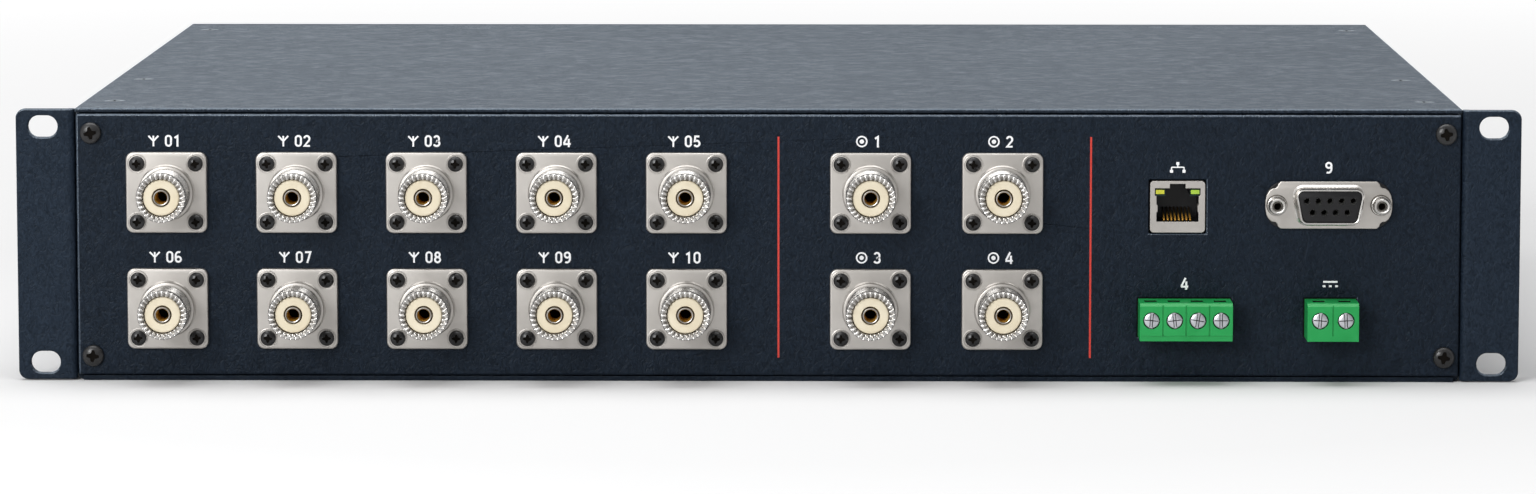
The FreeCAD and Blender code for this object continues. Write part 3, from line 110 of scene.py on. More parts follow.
class Tree:
    """A node tree, emptied, with short calls for the nodes that are used most."""

    def __init__(self, node_tree):
        self.nodes, self.links = node_tree.nodes, node_tree.links
        self.nodes.clear()

    def add(self, kind, values=None, output=0, **settings):
        """A node with its settings made first and its sockets set or linked; gives one output."""
        node = self.nodes.new(kind)
        for name, value in settings.items():
            setattr(node, name, value)
        for key, value in (values or {}).items():
            if isinstance(value, Value):
                self.links.new(value.socket, node.inputs[key])
            else:
                node.inputs[key].default_value = value
        return Value(self, node.outputs[output]) if node.outputs else node

    def parts(self, vector):
        node = self.add("ShaderNodeSeparateXYZ", {0: vector}).socket.node
        return [Value(self, output) for output in node.outputs]

    def rays(self, *kinds):
        """For each kind of ray, 1 where such a ray asks and 0 elsewhere."""
        path = self.add("ShaderNodeLightPath").socket.node
        return [Value(self, path.outputs[f"Is {kind} Ray"]) for kind in kinds]

    def vector(self, x, y, z):
        return self.add("ShaderNodeCombineXYZ", {0: x, 1: y, 2: z})

    def stretched(self, point, scale):
        return self.add("ShaderNodeVectorMath", {0: point, 1: scale}, operation="MULTIPLY")

    def noise(self, point, scale, detail=2.0, distortion=0.0):
        return self.add("ShaderNodeTexNoise", {"Vector": point, "Scale": scale, "Detail": detail,
                                               "Distortion": distortion})

    def cells(self, point, scale):
        return self.add("ShaderNodeTexVoronoi", {"Vector": point, "Scale": scale})

    def mix(self, share, first, second):
        return self.add("ShaderNodeMix", {0: share, 6: first, 7: second}, 2, data_type="RGBA")

    def bump(self, height, depth, strength):
        """A normal from a height between 0 and 1 that stands for a depth."""
        return self.add("ShaderNodeBump", {"Height": height, "Distance": depth * MM,
                                           "Strength": strength})


# Finishes: each paint gives a look for a tree and a point, from two colours and a roughness

def shade(red, green, blue):
    """A colour written as it shows on a screen, from 0 to 255."""
    return tuple((c / 255 / 12.92) if c <= 10.3 else ((c / 255 + 0.055) / 1.055) ** 2.4
                 for c in (red, green, blue)) + (1.0,)


def finish(name, paint, specular=0.5, tint=WHITE):
    """A material whose look is what paint gives for a tree and a point on the object."""
    material = bpy.data.materials.new(name)
    material.use_nodes = True
    tree = Tree(material.node_tree)
    look = paint(tree, tree.add("ShaderNodeTexCoord", output="Object"))
    shader = tree.add("ShaderNodeBsdfPrincipled",
                      {"Specular IOR Level": specular, "Specular Tint": tint, **look})
    tree.add("ShaderNodeOutputMaterial", {"Surface": shader})
    return material


def powder_coat(dark, light, rough, bumps=0.36, flecks=0.0):
    """A leathery powder coat: wrinkles with pits between them over a soft peel, and a slow drift.

    Bumps is the depth of its relief, and flecks how much glossier its glossiest spots are.
    """
    def paint(tree, point):
        wrinkle = tree.noise(tree.stretched(point, (1.0, 1.0, 0.7)), 620.0, 3.0, 1.8)
        pit = tree.cells(point, 1150.0)
        peel = tree.noise(point, 210.0, 1.0)
        drift = tree.noise(point, 11.0, 3.0)
        grain = (wrinkle.step(0.3, 0.7) * 0.75 + pit * 0.35).held()
        glossy = (peel * 0.6 + wrinkle * 0.4).step(0.45, 0.75) * flecks
        return {"Base Color": tree.mix(grain, dark, light),
                "Roughness": rough + drift * 0.06 + grain * 0.16 - glossy,
                "Normal": tree.bump(grain * 0.55 + peel.step(0.25, 0.75) * 0.45, bumps, 0.85)}
    return paint


def plated(colour, tint, rough, smear, metallic=1.0):
    """Plated metal: a faint mottle, handling smears in the gloss and a very fine tooth."""
    def paint(tree, point):
        mottle = tree.noise(point, smear, 4.0, 0.6)
        tooth = tree.noise(point, 3200.0, 1.0)
        return {"Base Color": tree.mix(mottle.step(0.3, 0.7), colour, tint),
                "Roughness": rough + mottle.step(0.35, 0.75) * 0.12 + tooth * 0.04,
                "Metallic": metallic,
                "Normal": tree.bump(tooth, 0.004, 0.5)}
    return paint


def wire_gold(tree, point):
    """Gold contact wires, bright at their front ends and darkened behind as painted shade; the
    places are in metres.
    """
    gold = plated(shade(244, 190, 86), shade(222, 158, 58), 0.3, 700.0, metallic=0.35)
    look = gold(tree, point)
    # Painted shade: the wires turn dark brown where they run back into the socket.
    behind = tree.parts(point)[1].step(-0.1705, -0.168)
    look["Base Color"] = tree.mix(behind, look["Base Color"], shade(62, 46, 20))
    return look


def moulded(colour, tint, rough, grain=900.0):
    """Moulded plastic: a faint flow mottle and a fine spark-eroded texture."""
    def paint(tree, point):
        flow = tree.noise(point, 90.0, 3.0, 0.8)
        tooth = tree.noise(point, grain, 2.0)
        return {"Base Color": tree.mix(flow.step(0.25, 0.75), colour, tint),
                "Roughness": rough + tooth * 0.12,
                "Normal": tree.bump(tooth, 0.012, 0.5)}
    return paint


def lens(colour, tint):
    """A lamp's lens: clear-coated, with a slight flow in it."""
    def paint(tree, point):
        flow = tree.noise(point, 700.0, 2.0)
        return {"Base Color": tree.mix(flow, colour, tint), "Roughness": 0.18 + flow * 0.1,
                "Coat Weight": 0.6, "Normal": tree.bump(flow, 0.02, 0.4)}
    return paint


def ink(colour, rough=0.5):
    """Screen print: a little thin in places, and as grainy as the coat below it."""
    def paint(tree, point):
        cover = tree.noise(point, 1400.0, 2.0).step(0.2, 0.55)
        thin = tuple(c * 0.82 for c in colour[:3]) + (1.0,)
        return {"Base Color": tree.mix(cover, thin, colour), "Roughness": rough + cover * 0.1,
                "Normal": tree.bump(cover, 0.02, 0.4)}
    return paint


def laminate(tree, point):
    """Solder-masked board with tracks running both ways under the mask."""
    x, y, z = tree.parts(point)
    weave = tree.noise(point, 900.0, 1.0)
    across, along = ((x * 210.0).math("SINE") > 0.93), (((y + z) * 260.0).math("SINE") > 0.95)
    track = across.math("MAXIMUM", along)
    return {"Base Color": tree.mix(track, shade(16, 74, 44), shade(34, 112, 66)),
            "Roughness": 0.28 + weave * 0.12,
            "Normal": tree.bump(track * 0.8 + weave * 0.2, 0.03, 0.5)}


def ribbed_vinyl(tree, point):
    """The ribbon's wires, 1.27 mm apart, show as ribs across its width, painted lighter on the ribs
    and darker in the grooves as painted light and shade.
    """
    rib = (tree.parts(point)[0] * (math.tau / 1.27 / MM)).math("SINE") * 0.5 + 0.5
    return {"Base Color": tree.mix(rib, shade(140, 142, 146), shade(186, 188, 192)),
            "Roughness": 0.45 + rib * 0.1, "Normal": tree.bump(rib, 0.3, 0.8)}


SKY_BLUE = (0.78, 0.89, 1.0, 1.0)
COAT = finish("navy_powder_coat", powder_coat(shade(8, 14, 22), shade(27, 36, 48), 0.3),
              0.14, SKY_BLUE)
# Painted light: a lighter copy of the navy coat for the cover, whose top takes the most light.
LIT_COVER_COAT = finish("cover_powder_coat_lit",
                    powder_coat(shade(9, 15, 23), shade(34, 43, 55), 0.34, bumps=0.75, flecks=0.14),
                    0.22, SKY_BLUE)
EAR_COAT = finish("ear_powder_coat", powder_coat(shade(13, 21, 31), shade(35, 45, 58), 0.32),
                  0.14, SKY_BLUE)
# Painted highlight: a lighter, glossier copy of the coat for rounded edges that face the light.
EDGE_HIGHLIGHT = finish("painted_edge_highlight", powder_coat(shade(28, 37, 48), shade(52, 63, 77), 0.2),
                   1.0, SKY_BLUE)
BLACK_OXIDE = finish("black_oxide",
                     plated(shade(27, 27, 28), shade(44, 44, 45), 0.24, 240.0, metallic=0.25))
ZINC = finish("zinc_plate", plated(shade(206, 207, 212), shade(184, 186, 192), 0.3, 180.0))
SATIN_NICKEL = finish("satin_nickel",
                      plated(shade(190, 186, 181), shade(174, 170, 165), 0.36, 70.0))
BRIGHT_NICKEL = finish("bright_nickel",
                       plated(shade(206, 204, 201), shade(180, 177, 173), 0.2, 320.0))
INSULATOR = finish("cream_insulator",
                   moulded(shade(238, 228, 204), shade(226, 213, 184), 0.42, 600.0))
SILVER = finish("silver_plate", plated(shade(190, 186, 180), shade(150, 145, 138), 0.24, 400.0))
BORE = finish("dulled_brass", moulded(shade(222, 178, 84), shade(188, 144, 52), 0.4, 500.0), 0.4)
# Painted shade: a dark finish for the sheets, discs and rings laid in bores, slots, recesses and
# gaps.
PAINTED_SHADE = finish("painted_shade", moulded(shade(16, 14, 12), shade(24, 21, 18), 0.8), 0.05)
# Painted shade: brown-dark rings for the shade in the narrow gaps round each socket's insulator.
GAP_SHADE = finish("insulator_shadow_gap", moulded(shade(98, 78, 50), shade(70, 54, 32), 0.7), 0.1)
# Painted shade: a darkened steel for the threads in the standoffs' holes and for the thin rings
# round the posts.
STEEL_SHADE = finish("threaded_hole_shade",
                     plated(shade(112, 108, 102), shade(70, 66, 60), 0.5, 700.0, metallic=0.4),
                     0.3)
WIRE_GOLD = finish("contact_wire_gold", wire_gold)
TIN = finish("tin_plate", plated(shade(196, 196, 194), shade(170, 170, 168), 0.36, 150.0))
BLACK_PLASTIC = finish("black_plastic", moulded(shade(17, 17, 19), shade(25, 25, 27), 0.34), 0.3)
TEAL_PLASTIC = finish("lamp_body", moulded(shade(24, 58, 60), shade(36, 76, 76), 0.4))
GREEN_PLASTIC = finish("green_plastic", moulded(shade(18, 146, 70), shade(34, 160, 82), 0.3), 0.35)
AMBER = finish("amber_lens", lens(shade(210, 210, 30), shade(186, 184, 16)))
LIME = finish("green_lens", lens(shade(178, 214, 52), shade(146, 188, 30)))
BOARD = finish("board_laminate", laminate)
RELAY = finish("relay_case", moulded(shade(38, 38, 42), shade(48, 48, 52), 0.45))
RIBBON = finish("ribbon_vinyl", ribbed_vinyl)
JUMPER = finish("tinned_copper_jacket",
                plated(shade(206, 188, 166), shade(184, 160, 134), 0.34, 260.0))
WHITE_INK = finish("white_ink", ink(shade(252, 253, 255)))
RED_INK = finish("red_ink", ink(shade(206, 52, 38), 0.42))


# Meshes

def shown(name, data):
    piece = bpy.data.objects.new(name, data)
    bpy.context.scene.collection.objects.link(piece)
    return piece


def mesh_of(piece):
    """The piece with its modifiers applied and taken off."""
    bpy.context.view_layer.update()
    final = piece.evaluated_get(bpy.context.evaluated_depsgraph_get())
    data = bpy.data.meshes.new_from_object(final)
    piece.modifiers.clear()
    piece.data = data
    return piece


def smooth(piece, angle=35):
    """The piece shaded smooth, except where its faces meet at more than an angle in degrees."""
    piece.data.polygons.foreach_set("use_smooth", [True] * len(piece.data.polygons))
    piece.data.set_sharp_from_angle(angle=math.radians(angle))
    return piece


def closed_piece(name, points, faces):
    """A piece from points: doubles merged, faces turned outwards."""
    data = bpy.data.meshes.new(name)
    data.from_pydata([Vector(p) * MM for p in points], [], faces)
    solid = bmesh.new()
    solid.from_mesh(data)
    bmesh.ops.remove_doubles(solid, verts=solid.verts, dist=1e-7)
    bmesh.ops.dissolve_degenerate(solid, edges=solid.edges, dist=1e-8)
    bmesh.ops.recalc_face_normals(solid, faces=solid.faces)
    solid.to_mesh(data)
    solid.free()
    return smooth(shown(name, data))


def lofted(name, loops, ring=False):
    """A skin through loops of as many points each, capped at both ends or joined up as a ring."""
    count, rows = len(loops[0]), len(loops)
    faces = []
    for i in range(rows if ring else rows - 1):
        a, b = i * count, (i + 1) % rows * count
        faces += [(a + j, a + (j + 1) % count, b + (j + 1) % count, b + j) for j in range(count)]
    if not ring:
        faces += [tuple(range(count)), tuple(range((rows - 1) * count, rows * count))]
    return closed_piece(name, [p for loop in loops for p in loop], faces)


def swept(name, outline, *places):
    """A piece along Y, with the same outline in X and Z at each place."""
    return lofted(name, [[(x, y, z) for x, z in outline] for y in places])


def turned(name, profile, sides, ring=False):
    """A lathe-turned piece about Y."""
    round_ = [math.tau * i / sides for i in range(sides)]
    return lofted(name, [[(r * math.cos(a), y, r * math.sin(a)) for a in round_]
                         for r, y in profile], ring)


def rounded(corners, radius, steps):
    """A polygon's outline in X and Z with its corners rounded."""
    outline = []
    for i, corner in enumerate(corners):
        here = Vector(corner)
        before = Vector(corners[i - 1]) - here
        after = Vector(corners[(i + 1) % len(corners)]) - here
        half = before.angle(after) / 2
        start, end = before.normalized(), after.normalized()
        centre = here + (start + end).normalized() * radius / math.sin(half)
        first = here + start * radius / math.tan(half) - centre
        last = here + end * radius / math.tan(half) - centre
        for k in range(steps + 1):
            arm = first.slerp(last, k / steps)
            outline.append(tuple(centre + arm.normalized() * radius))
    return outline


def box_corners(x, z, width, height):
    return [(x - width / 2, z - height / 2), (x + width / 2, z - height / 2),
            (x + width / 2, z + height / 2), (x - width / 2, z + height / 2)]


def plate(name, outline, back, front, edge, steps=3):
    """A plate with a rounded edge at its front; outline gives its shape at an inset."""
    loops = [[(x, back, z) for x, z in outline(0)]]
    for k in range(steps + 1):
        turn = math.pi / 2 * k / steps
        inset, rise = edge * (1 - math.cos(turn)), edge * (1 - math.sin(turn))
        loops.append([(x, front + rise, z) for x, z in outline(inset)])
    return lofted(name, loops)


def drilled(piece, *cutters):
    """The piece less its cutters, which are used up."""
    for cutter in cutters:
        cut = piece.modifiers.new("cut", "BOOLEAN")
        cut.object, cut.operation, cut.solver = cutter, "DIFFERENCE", "EXACT"
        mesh_of(piece)
        bpy.data.objects.remove(cutter)
    return smooth(piece)


def moved(piece, x=0.0, y=0.0, z=0.0, turn=0.0):
    """The piece's mesh turned about Y, in degrees, then moved."""
    spin = Matrix.Rotation(math.radians(turn), 4, "Y")
    piece.data.transform(Matrix.Translation(Vector((x, y, z)) * MM) @ spin)
    return piece


def joined(name, pieces):
    """Several pieces as one."""
    whole = bmesh.new()
    for piece in pieces:
        whole.from_mesh(piece.data)
        bpy.data.objects.remove(piece)
    data = bpy.data.meshes.new(name)
    whole.to_mesh(data)
    whole.free()
    return smooth(shown(name, data))


def softened(node, name, width, segments=2, held_in=True, cuts=()):
    """A copy of a solid, less its cuts, with its sharp edges rounded off, to stand for it."""
    data = nodes[node].data.copy()
    solid = bmesh.new()
    solid.from_mesh(data)
    bmesh.ops.remove_doubles(solid, verts=solid.verts, dist=2e-6)
    bmesh.ops.dissolve_limit(solid, angle_limit=math.radians(0.6), verts=solid.verts,
                             edges=solid.edges)
    solid.to_mesh(data)
    solid.free()
    data.materials.clear()
    piece = drilled(shown(name, data), *cuts)
    bevel = piece.modifiers.new("edges", "BEVEL")
    bevel.width, bevel.segments, bevel.limit_method = width * MM, segments, "ANGLE"
    bevel.angle_limit, bevel.use_clamp_overlap = math.radians(28), held_in
    even = piece.modifiers.new("flats", "WEIGHTED_NORMAL")
    even.keep_sharp = False
    return mesh_of(piece)


def edge_highlighted(piece, material, leftward=True):
    """The piece with a lighter material on its rounded edges that face up or left: a painted
    highlight.
    """
    flat, tilted = 0.985, 0.17
    piece.data.materials.append(material)
    for face in piece.data.polygons:
        facing = face.normal
        lit = facing.z > tilted or leftward and facing.x < -tilted
        if lit and max(abs(part) for part in facing) < flat:
            face.material_index = 1
    return piece


def done(piece, material, body=CASE, stands_for=()):
    """The piece finished: its material, the body it rides on and the solids it stands for."""
    piece.data.materials.clear()
    piece.data.materials.append(material)
    piece.data.polygons.foreach_set("material_index", [0] * len(piece.data.polygons))
    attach(piece, body)
    if stands_for:
        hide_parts(*stands_for)
    return piece


# Geometry trees: each grows a part at every point. Inside them, lengths are in metres.

def geometry_tree(name, grow, **sockets):
    """A Geometry Nodes tree that takes points, a part and the named inputs."""
    group = bpy.data.node_groups.new(name, "GeometryNodeTree")
    face = group.interface
    face.new_socket("Geometry", in_out="INPUT", socket_type="NodeSocketGeometry")
    for label, kind in {"Part": "Object", **sockets}.items():
        face.new_socket(label, in_out="INPUT", socket_type="NodeSocket" + kind)
    face.new_socket("Geometry", in_out="OUTPUT", socket_type="NodeSocketGeometry")
    tree = Tree(group)
    entry = group.nodes.new("NodeGroupInput")
    given = {output.name: Value(tree, output) for output in entry.outputs if output.name}
    whole = tree.add("GeometryNodeRealizeInstances", {"Geometry": grow(tree, given)})
    tree.add("NodeGroupOutput", {0: whole})
    return group


def grown(name, points, group, part, **given):
    """A piece that a geometry tree makes from points and a part, which is used up."""
    data = bpy.data.meshes.new(name)
    data.from_pydata([Vector(p) * MM for p in points], [], [])
    piece = shown(name, data)
    modifier = piece.modifiers.new(name, "NODES")
    modifier.node_group = group
    given["Part"] = part
    for item in group.interface.items_tree:
        if item.in_out == "INPUT" and item.name in given:
            modifier[item.identifier] = given[item.name]
    mesh_of(piece)
    bpy.data.objects.remove(part)
    return piece


def part_of(tree, given, instance=False):
    return tree.add("GeometryNodeObjectInfo", {"Object": given["Part"], "As Instance": instance},
                    "Geometry", transform_space="ORIGINAL")


def at_points(tree, given, part, **values):
    return tree.add("GeometryNodeInstanceOnPoints",
                    {"Points": given["Geometry"], "Instance": part, **values})


def copies(tree, given):
    """The part, turned about Y at each point by its own share of Turn either way."""
    spin = tree.add("FunctionNodeRandomValue",
                    {2: given["Turn"] * -0.5, 3: given["Turn"] * 0.5, "Seed": given["Seed"]}, 1,
                    data_type="FLOAT")
    return at_points(tree, given, part_of(tree, given, True), Rotation=tree.vector(0.0, spin, 0.0))


def thread(tree, given):
    """The part with a helical groove cut into its outside, which runs out at both ends."""
    pitch, radius = given["Pitch"], given["Radius"]
    x, y, z = tree.parts(tree.add("GeometryNodeInputPosition"))
    turn = (y / pitch + z.math("ARCTAN2", x) / math.tau).math("FRACT")
    flank = (abs(turn - 0.5) * 3.2 - 0.6).held()
    run_out = ((y - given["Start"]) / pitch).math("MINIMUM", (given["End"] - y) / pitch).held()
    outside = (x * x + z * z).math("SQRT") > radius * 0.95
    waist = 1.0 - outside * flank * run_out * given["Depth"] / radius
    cut = tree.add("GeometryNodeSetPosition",
                   {"Geometry": part_of(tree, given),
                    "Position": tree.vector(x * waist, y, z * waist)})
    return at_points(tree, given, cut)


def teeth(tree, given):
    """The part with V notches cut into its front face, deepest at the bore."""
    place = tree.add("GeometryNodeInputPosition")
    x, y, z = tree.parts(place)
    radius = (x * x + z * z).math("SQRT")
    # The 64 whole teeth keep the fraction's argument above 0.
    turn = (z.math("ARCTAN2", x) / math.tau * given["Teeth"] + 64.0).math("FRACT")
    uneven = tree.noise(place, 900.0) * 0.5 + 0.75
    notch = (1.0 - abs(turn - 0.5) * 2.5).held()
    reach = ((given["Outer"] - radius) / (given["Outer"] - given["Bore"])).held()
    front = 1.0 - ((y - given["Front"]) / (0.9 * MM)).held()
    share = reach * 0.75 + 0.25 * (reach > 0.02)
    drop = notch * share * front * given["Depth"] * uneven
    cut = tree.add("GeometryNodeSetPosition",
                   {"Geometry": part_of(tree, given), "Offset": tree.vector(0.0, drop, 0.0)})
    return at_points(tree, given, cut)


COPIES = geometry_tree("copies", copies, Turn="Float", Seed="Int")
THREAD = geometry_tree("thread", thread, Radius="Float", Start="Float", End="Float",
                       Pitch="Float", Depth="Float")
TEETH = geometry_tree("teeth", teeth, Teeth="Float", Depth="Float", Bore="Float",
                      Outer="Float", Front="Float")


def placed(name, part, places, turn=0.0, seed=1):
    """Copies of a part at places, as one piece; the part is used up."""
    return smooth(grown(name, places, COPIES, part, Turn=math.radians(turn), Seed=seed))


# Screws: heads face -Y, with the seat at the origin. A size is the head's diameter and height and
# the shank's diameter and length.

SOCKET_SCREW, PANEL_SCREW = (4.9, 1.9, 2.8, 8), (6.9, 2.3, 3.4, 8)


def recess(diameter, height, rows):
    """A cross recess, or the painted shade laid in one, which narrows toward its floor.

    Each row is a share of the cross's reach and a share of its depth.
    """
    reach, width, depth = diameter / 2 * 0.64, diameter / 2 * 0.36, height * 0.6
    loops = []
    for share, deep in rows:
        y = -height + depth * deep
        long, short = reach * share, width / 2 * (0.5 + 0.5 * share)
        quarter = [(short * 0.75, long), (short * 1.3, short * 1.3), (long, short * 0.75)]
        loops.append([(x * c - z * s, y, x * s + z * c)
                      for c, s in ((1, 0), (0, -1), (-1, 0), (0, 1)) for x, z in quarter])
    return lofted("recess", loops)


def pan_screw(diameter, height, shank, length):
    """A screw with a domed pan head and a cross recess."""
    r, h = diameter / 2, height
    dome = [(r * math.cos(t), -h * (0.38 + 0.62 * math.sin(t)))
            for t in (math.radians(a) for a in (0, 14, 28, 42, 56, 70, 82))]
    tip = [(0, length), (shank / 2 - 0.3, length), (shank / 2, length - 0.4), (shank / 2, 0.0)]
    screw = turned("screw", tip + [(r * 0.96, 0.0), (r, -h * 0.06)] + dome + [(0, -h)], 36)
    return drilled(screw, recess(diameter, height, ((1, -1), (1, 0), (0.8, 0.5), (0.5, 1))))


def pan_screws(name, size, places, turn, seed, back=False, stands_for=()):
    """Pan-head screws at places, and painted shade on the floors of their recesses."""
    shadow = recess(*size[:2], ((0.86, 0.4), (0.8, 0.6), (0.5, 1.02)))
    for label, part, material, solids in (("", pan_screw(*size), BLACK_OXIDE, stands_for),
                                          ("_recesses", shadow, PAINTED_SHADE, ())):
        if back:
            part.data.transform(Matrix.Rotation(math.pi, 4, "Z"))
        done(placed(name + label, part, places, turn, seed), material,
             stands_for=solids)


# Coaxial sockets. Along Y: the panel's face, the flanges' faces and the rims' tips.

FACE, FLANGE, TIP = -175.0, -177.2, -194.0
BARREL_FRONT, BARREL_BACK, BARREL_RADIUS, BARREL_ROWS = -192.3, -180.8, 7.9375, 80
SCREW_REACH = 9.4  # from a socket's axis to its screws, along X and along Z
RIM_TEETH = 28
antenna_sockets = [n for n in nodes if n.startswith("antenna_connector_")]
radio_sockets = [n for n in nodes if n.startswith("radio_connector_")]


def socket_flange():
    """A square flange with rounded corners."""
    def outline(inset):
        side = 26.0 - 2 * inset
        return rounded(box_corners(0, 0, side, side), 2.4 - inset, 6)
    return plate("flange", outline, FACE, FLANGE, 0.55, 4)


def socket_parts(kind, sockets):
    """The shells of one kind of socket, each sort of piece as one mesh.

    Gives the places of the sockets and those of their screws.
    """
    places = axes(sockets)
    corners = [(x + SCREW_REACH * i, FLANGE, z + SCREW_REACH * k)
               for x, y, z in places for i in (-1, 1) for k in (-1, 1)]

    done(placed(kind + "_flanges", socket_flange(), places), SATIN_NICKEL,
         stands_for=sockets)
    rear = turned("rear_body", [(6.0, FACE - 0.5), (7.2, FACE - 0.5), (7.2, -167.4),
                                (6.8, -167.0), (6.0, -167.0)], 48, ring=True)
    done(placed(kind + "_rear_bodies", rear, places), SATIN_NICKEL)
    dimple = turned("dimple", [(2.75, 0.1), (2.8, -0.06), (2.95, -0.1), (3.1, -0.04), (3.15, 0.1)],
                    40, ring=True)
    done(placed(kind + "_screw_seats", dimple, corners), SATIN_NICKEL)

    collar = turned("collar", [(6.4, FLANGE + 0.3), (9.1, FLANGE + 0.3), (9.1, FLANGE - 0.1),
                               (8.9, FLANGE - 0.3), (8.75, FLANGE - 0.4), (8.75, -179.45),
                               (8.62, -179.7), (8.4, -179.8), (7.55, -179.8), (7.35, -180.0),
                               (7.35, -180.9), (6.4, -180.9)], 72, ring=True)
    done(placed(kind + "_collars", collar, places), SATIN_NICKEL)

    length = BARREL_BACK - BARREL_FRONT
    rows = [(BARREL_RADIUS, BARREL_FRONT + length * i / BARREL_ROWS)
            for i in range(BARREL_ROWS + 1)]
    tube = turned("tube", [(6.0, BARREL_FRONT)] + rows + [(6.0, BARREL_BACK)], 56, ring=True)
    barrel = grown(kind + "_barrels", places, THREAD, tube, Radius=BARREL_RADIUS * MM,
                   Start=BARREL_FRONT * MM, End=BARREL_BACK * MM, Pitch=1.5 * MM, Depth=0.7 * MM)
    done(smooth(barrel, 60), BRIGHT_NICKEL)

    rim = turned("rim", [(6.0, -190.5), (7.0, -190.5), (7.0, -192.2), (7.8, -192.25),
                         (7.9, -192.5), (7.9, -193.3), (7.72, -193.75), (7.4, -193.98), (7.0, TIP),
                         (6.6, TIP), (6.25, -193.98), (6.08, -193.9), (6.0, -193.7),
                         (6.0, -192.9)], RIM_TEETH * 8, ring=True)
    rims = grown(kind + "_rims", places, TEETH, rim, Teeth=float(RIM_TEETH), Depth=1.3 * MM,
                 Bore=6.0 * MM, Outer=7.6 * MM, Front=TIP * MM)
    done(smooth(rims, 40), BRIGHT_NICKEL)

    return places, corners


def socket_cores(places):
    """What lies in each socket's bore: the insulator, the contact tube, and painted shade in the
    gaps round them and deep in the tube.
    """
    core = turned("insulator", [(2.58, -167.0), (5.98, -167.0), (5.98, -190.9), (5.76, -190.9),
                                (5.76, -192.1), (5.68, -192.4), (5.46, -192.56), (5.2, -192.6),
                                (3.7, -192.5), (3.3, -192.56), (3.05, -192.5), (2.95, -192.3),
                                (2.95, -191.0), (2.58, -191.0)], 56, ring=True)
    done(placed("socket_insulators", core, places), INSULATOR,
         stands_for=["connector_insulators"])
    # Painted shade: dark rings in the gaps round the insulator and round the contact.
    gap_shades = [turned("gap", [(low, -190.8), (high, -190.8), (high, -191.3), (low, -191.3)], 48,
                   ring=True) for low, high in ((5.7, 6.0), (2.56, 3.0))]
    done(placed("socket_insulator_gaps", joined("gap", gap_shades), places), GAP_SHADE)
    tube = turned("contact", [(0.0, -162.0), (1.6, -162.0), (1.6, -167.0), (2.55, -167.0),
                              (2.55, -192.72), (2.47, -192.88), (2.32, -192.96), (2.14, -192.9),
                              (2.03, -192.75), (2.0, -192.55), (2.0, -181.2), (0.0, -180.6)], 40)
    done(placed("socket_contact_tubes", tube, places), SILVER,
         stands_for=["connector_contacts"])
    lining = turned("lining", [(1.92, -183.6), (2.02, -183.6), (2.02, -192.3), (1.92, -192.45)],
                    32, ring=True)
    done(placed("socket_contact_linings", lining, places), BORE)
    # Painted shade: a dark disc deep in each contact tube.
    hollow = turned("hollow", [(0.0, -183.0), (1.99, -183.0), (1.99, -184.2), (0.0, -184.2)], 32)
    done(placed("socket_contact_hollows", hollow, places), PAINTED_SHADE)


antenna_places, antenna_corners = socket_parts("antenna", antenna_sockets)
radio_places, radio_corners = socket_parts("radio", radio_sockets)
socket_cores(antenna_places + radio_places)
pan_screws("socket_screws", SOCKET_SCREW, antenna_corners + radio_corners, turn=24, seed=7,
           stands_for=["flange_screws"])


# Case: panels, cover, tray, ears and their screws

# Each skin gets the painted highlight on its rounded edges that face up or left.
for node, width in (("front_panel", 0.4), ("rear_panel", 0.4), ("top_cover", 0.45),
                    ("base_tray", 0.3)):
    skin = softened(node, node + "_skin", width, 3, held_in=node == "base_tray")
    coat = LIT_COVER_COAT if node == "top_cover" else COAT
    edge_highlighted(done(skin, coat, stands_for=[node]), EDGE_HIGHLIGHT)


def relief(side, up):
    """The wedge cut off an ear's side flange, above or below, so that its face hides the flange."""
    mid_height = 44.05
    wedge = [(-171.9, 42.75), (-128.0, 38.5), (-128.0, 45.0), (-171.9, 45.0)]
    return lofted("relief", [[(side * x, y, mid_height + up * z) for y, z in wedge]
                             for x in (222.0, 225.2)])


for side, node in ((-1, "rack_ear_left"), (1, "rack_ear_right")):
    cuts = relief(side, 1), relief(side, -1)
    skin = softened(node, node + "_skin", 0.5, 3, held_in=False, cuts=cuts)
    # The ears get the painted highlight only on their rounded edges that face up.
    edge_highlighted(done(skin, EAR_COAT, stands_for=[node]), EDGE_HIGHLIGHT, leftward=False)

panel_corners = [(x, z) for x in (-217.15, 217.15) for z in (8.05, 80.05)]
pan_screws("front_panel_screws", PANEL_SCREW, [(x, FACE, z) for x, z in panel_corners],
           turn=26, seed=4, stands_for=["panel_screws"])
pan_screws("rear_panel_screws", PANEL_SCREW, [(x, -FACE, z) for x, z in panel_corners],
           turn=26, seed=5, back=True)


# Printed marks on the panel

PRINT, HALF_INK = FACE - 0.03, 0.02  # the middle of the ink along Y, and half its thickness
FIGURE = 3.8  # the height of a figure
MARK_RISE = 16.55  # from a socket's axis up to its marks
UPPER_ROW, LOWER_ROW = 69.3, 31.8  # the heights of the marks on the right
LAN_X, SERIAL_X, SERIAL_Z, DATA_X, POWER_X = 131.4, 179.7, 57.4, 133.8, 180.6


def stroke(points, width, closed=False):
    """A printed stroke of even width along points in X and Z."""
    path, half = [Vector(p) for p in points], width / 2
    rows = []
    for i, here in enumerate(path):
        ahead = path[(i + 1) % len(path)] - here if closed or i < len(path) - 1 else None
        behind = here - path[i - 1] if closed or i else None
        ways = [way.normalized() for way in (behind, ahead) if way is not None]
        along = sum(ways, Vector((0, 0))).normalized()
        across = Vector((-along.y, along.x)) * half / max(0.5, along.dot(ways[0]))
        rows.append([((here + side * across).x, PRINT + y, (here + side * across).y)
                     for side, y in ((1, -HALF_INK), (1, HALF_INK), (-1, HALF_INK),
                                     (-1, -HALF_INK))])
    return lofted("stroke", rows, ring=closed)


def arc(x, z, wide, high, start, end):
    """Points on an oval, from one angle to another."""
    steps = 12
    return [(x + wide * math.cos(math.radians(a)), z + high * math.sin(math.radians(a)))
            for a in (start + (end - start) * i / steps for i in range(steps + 1))]


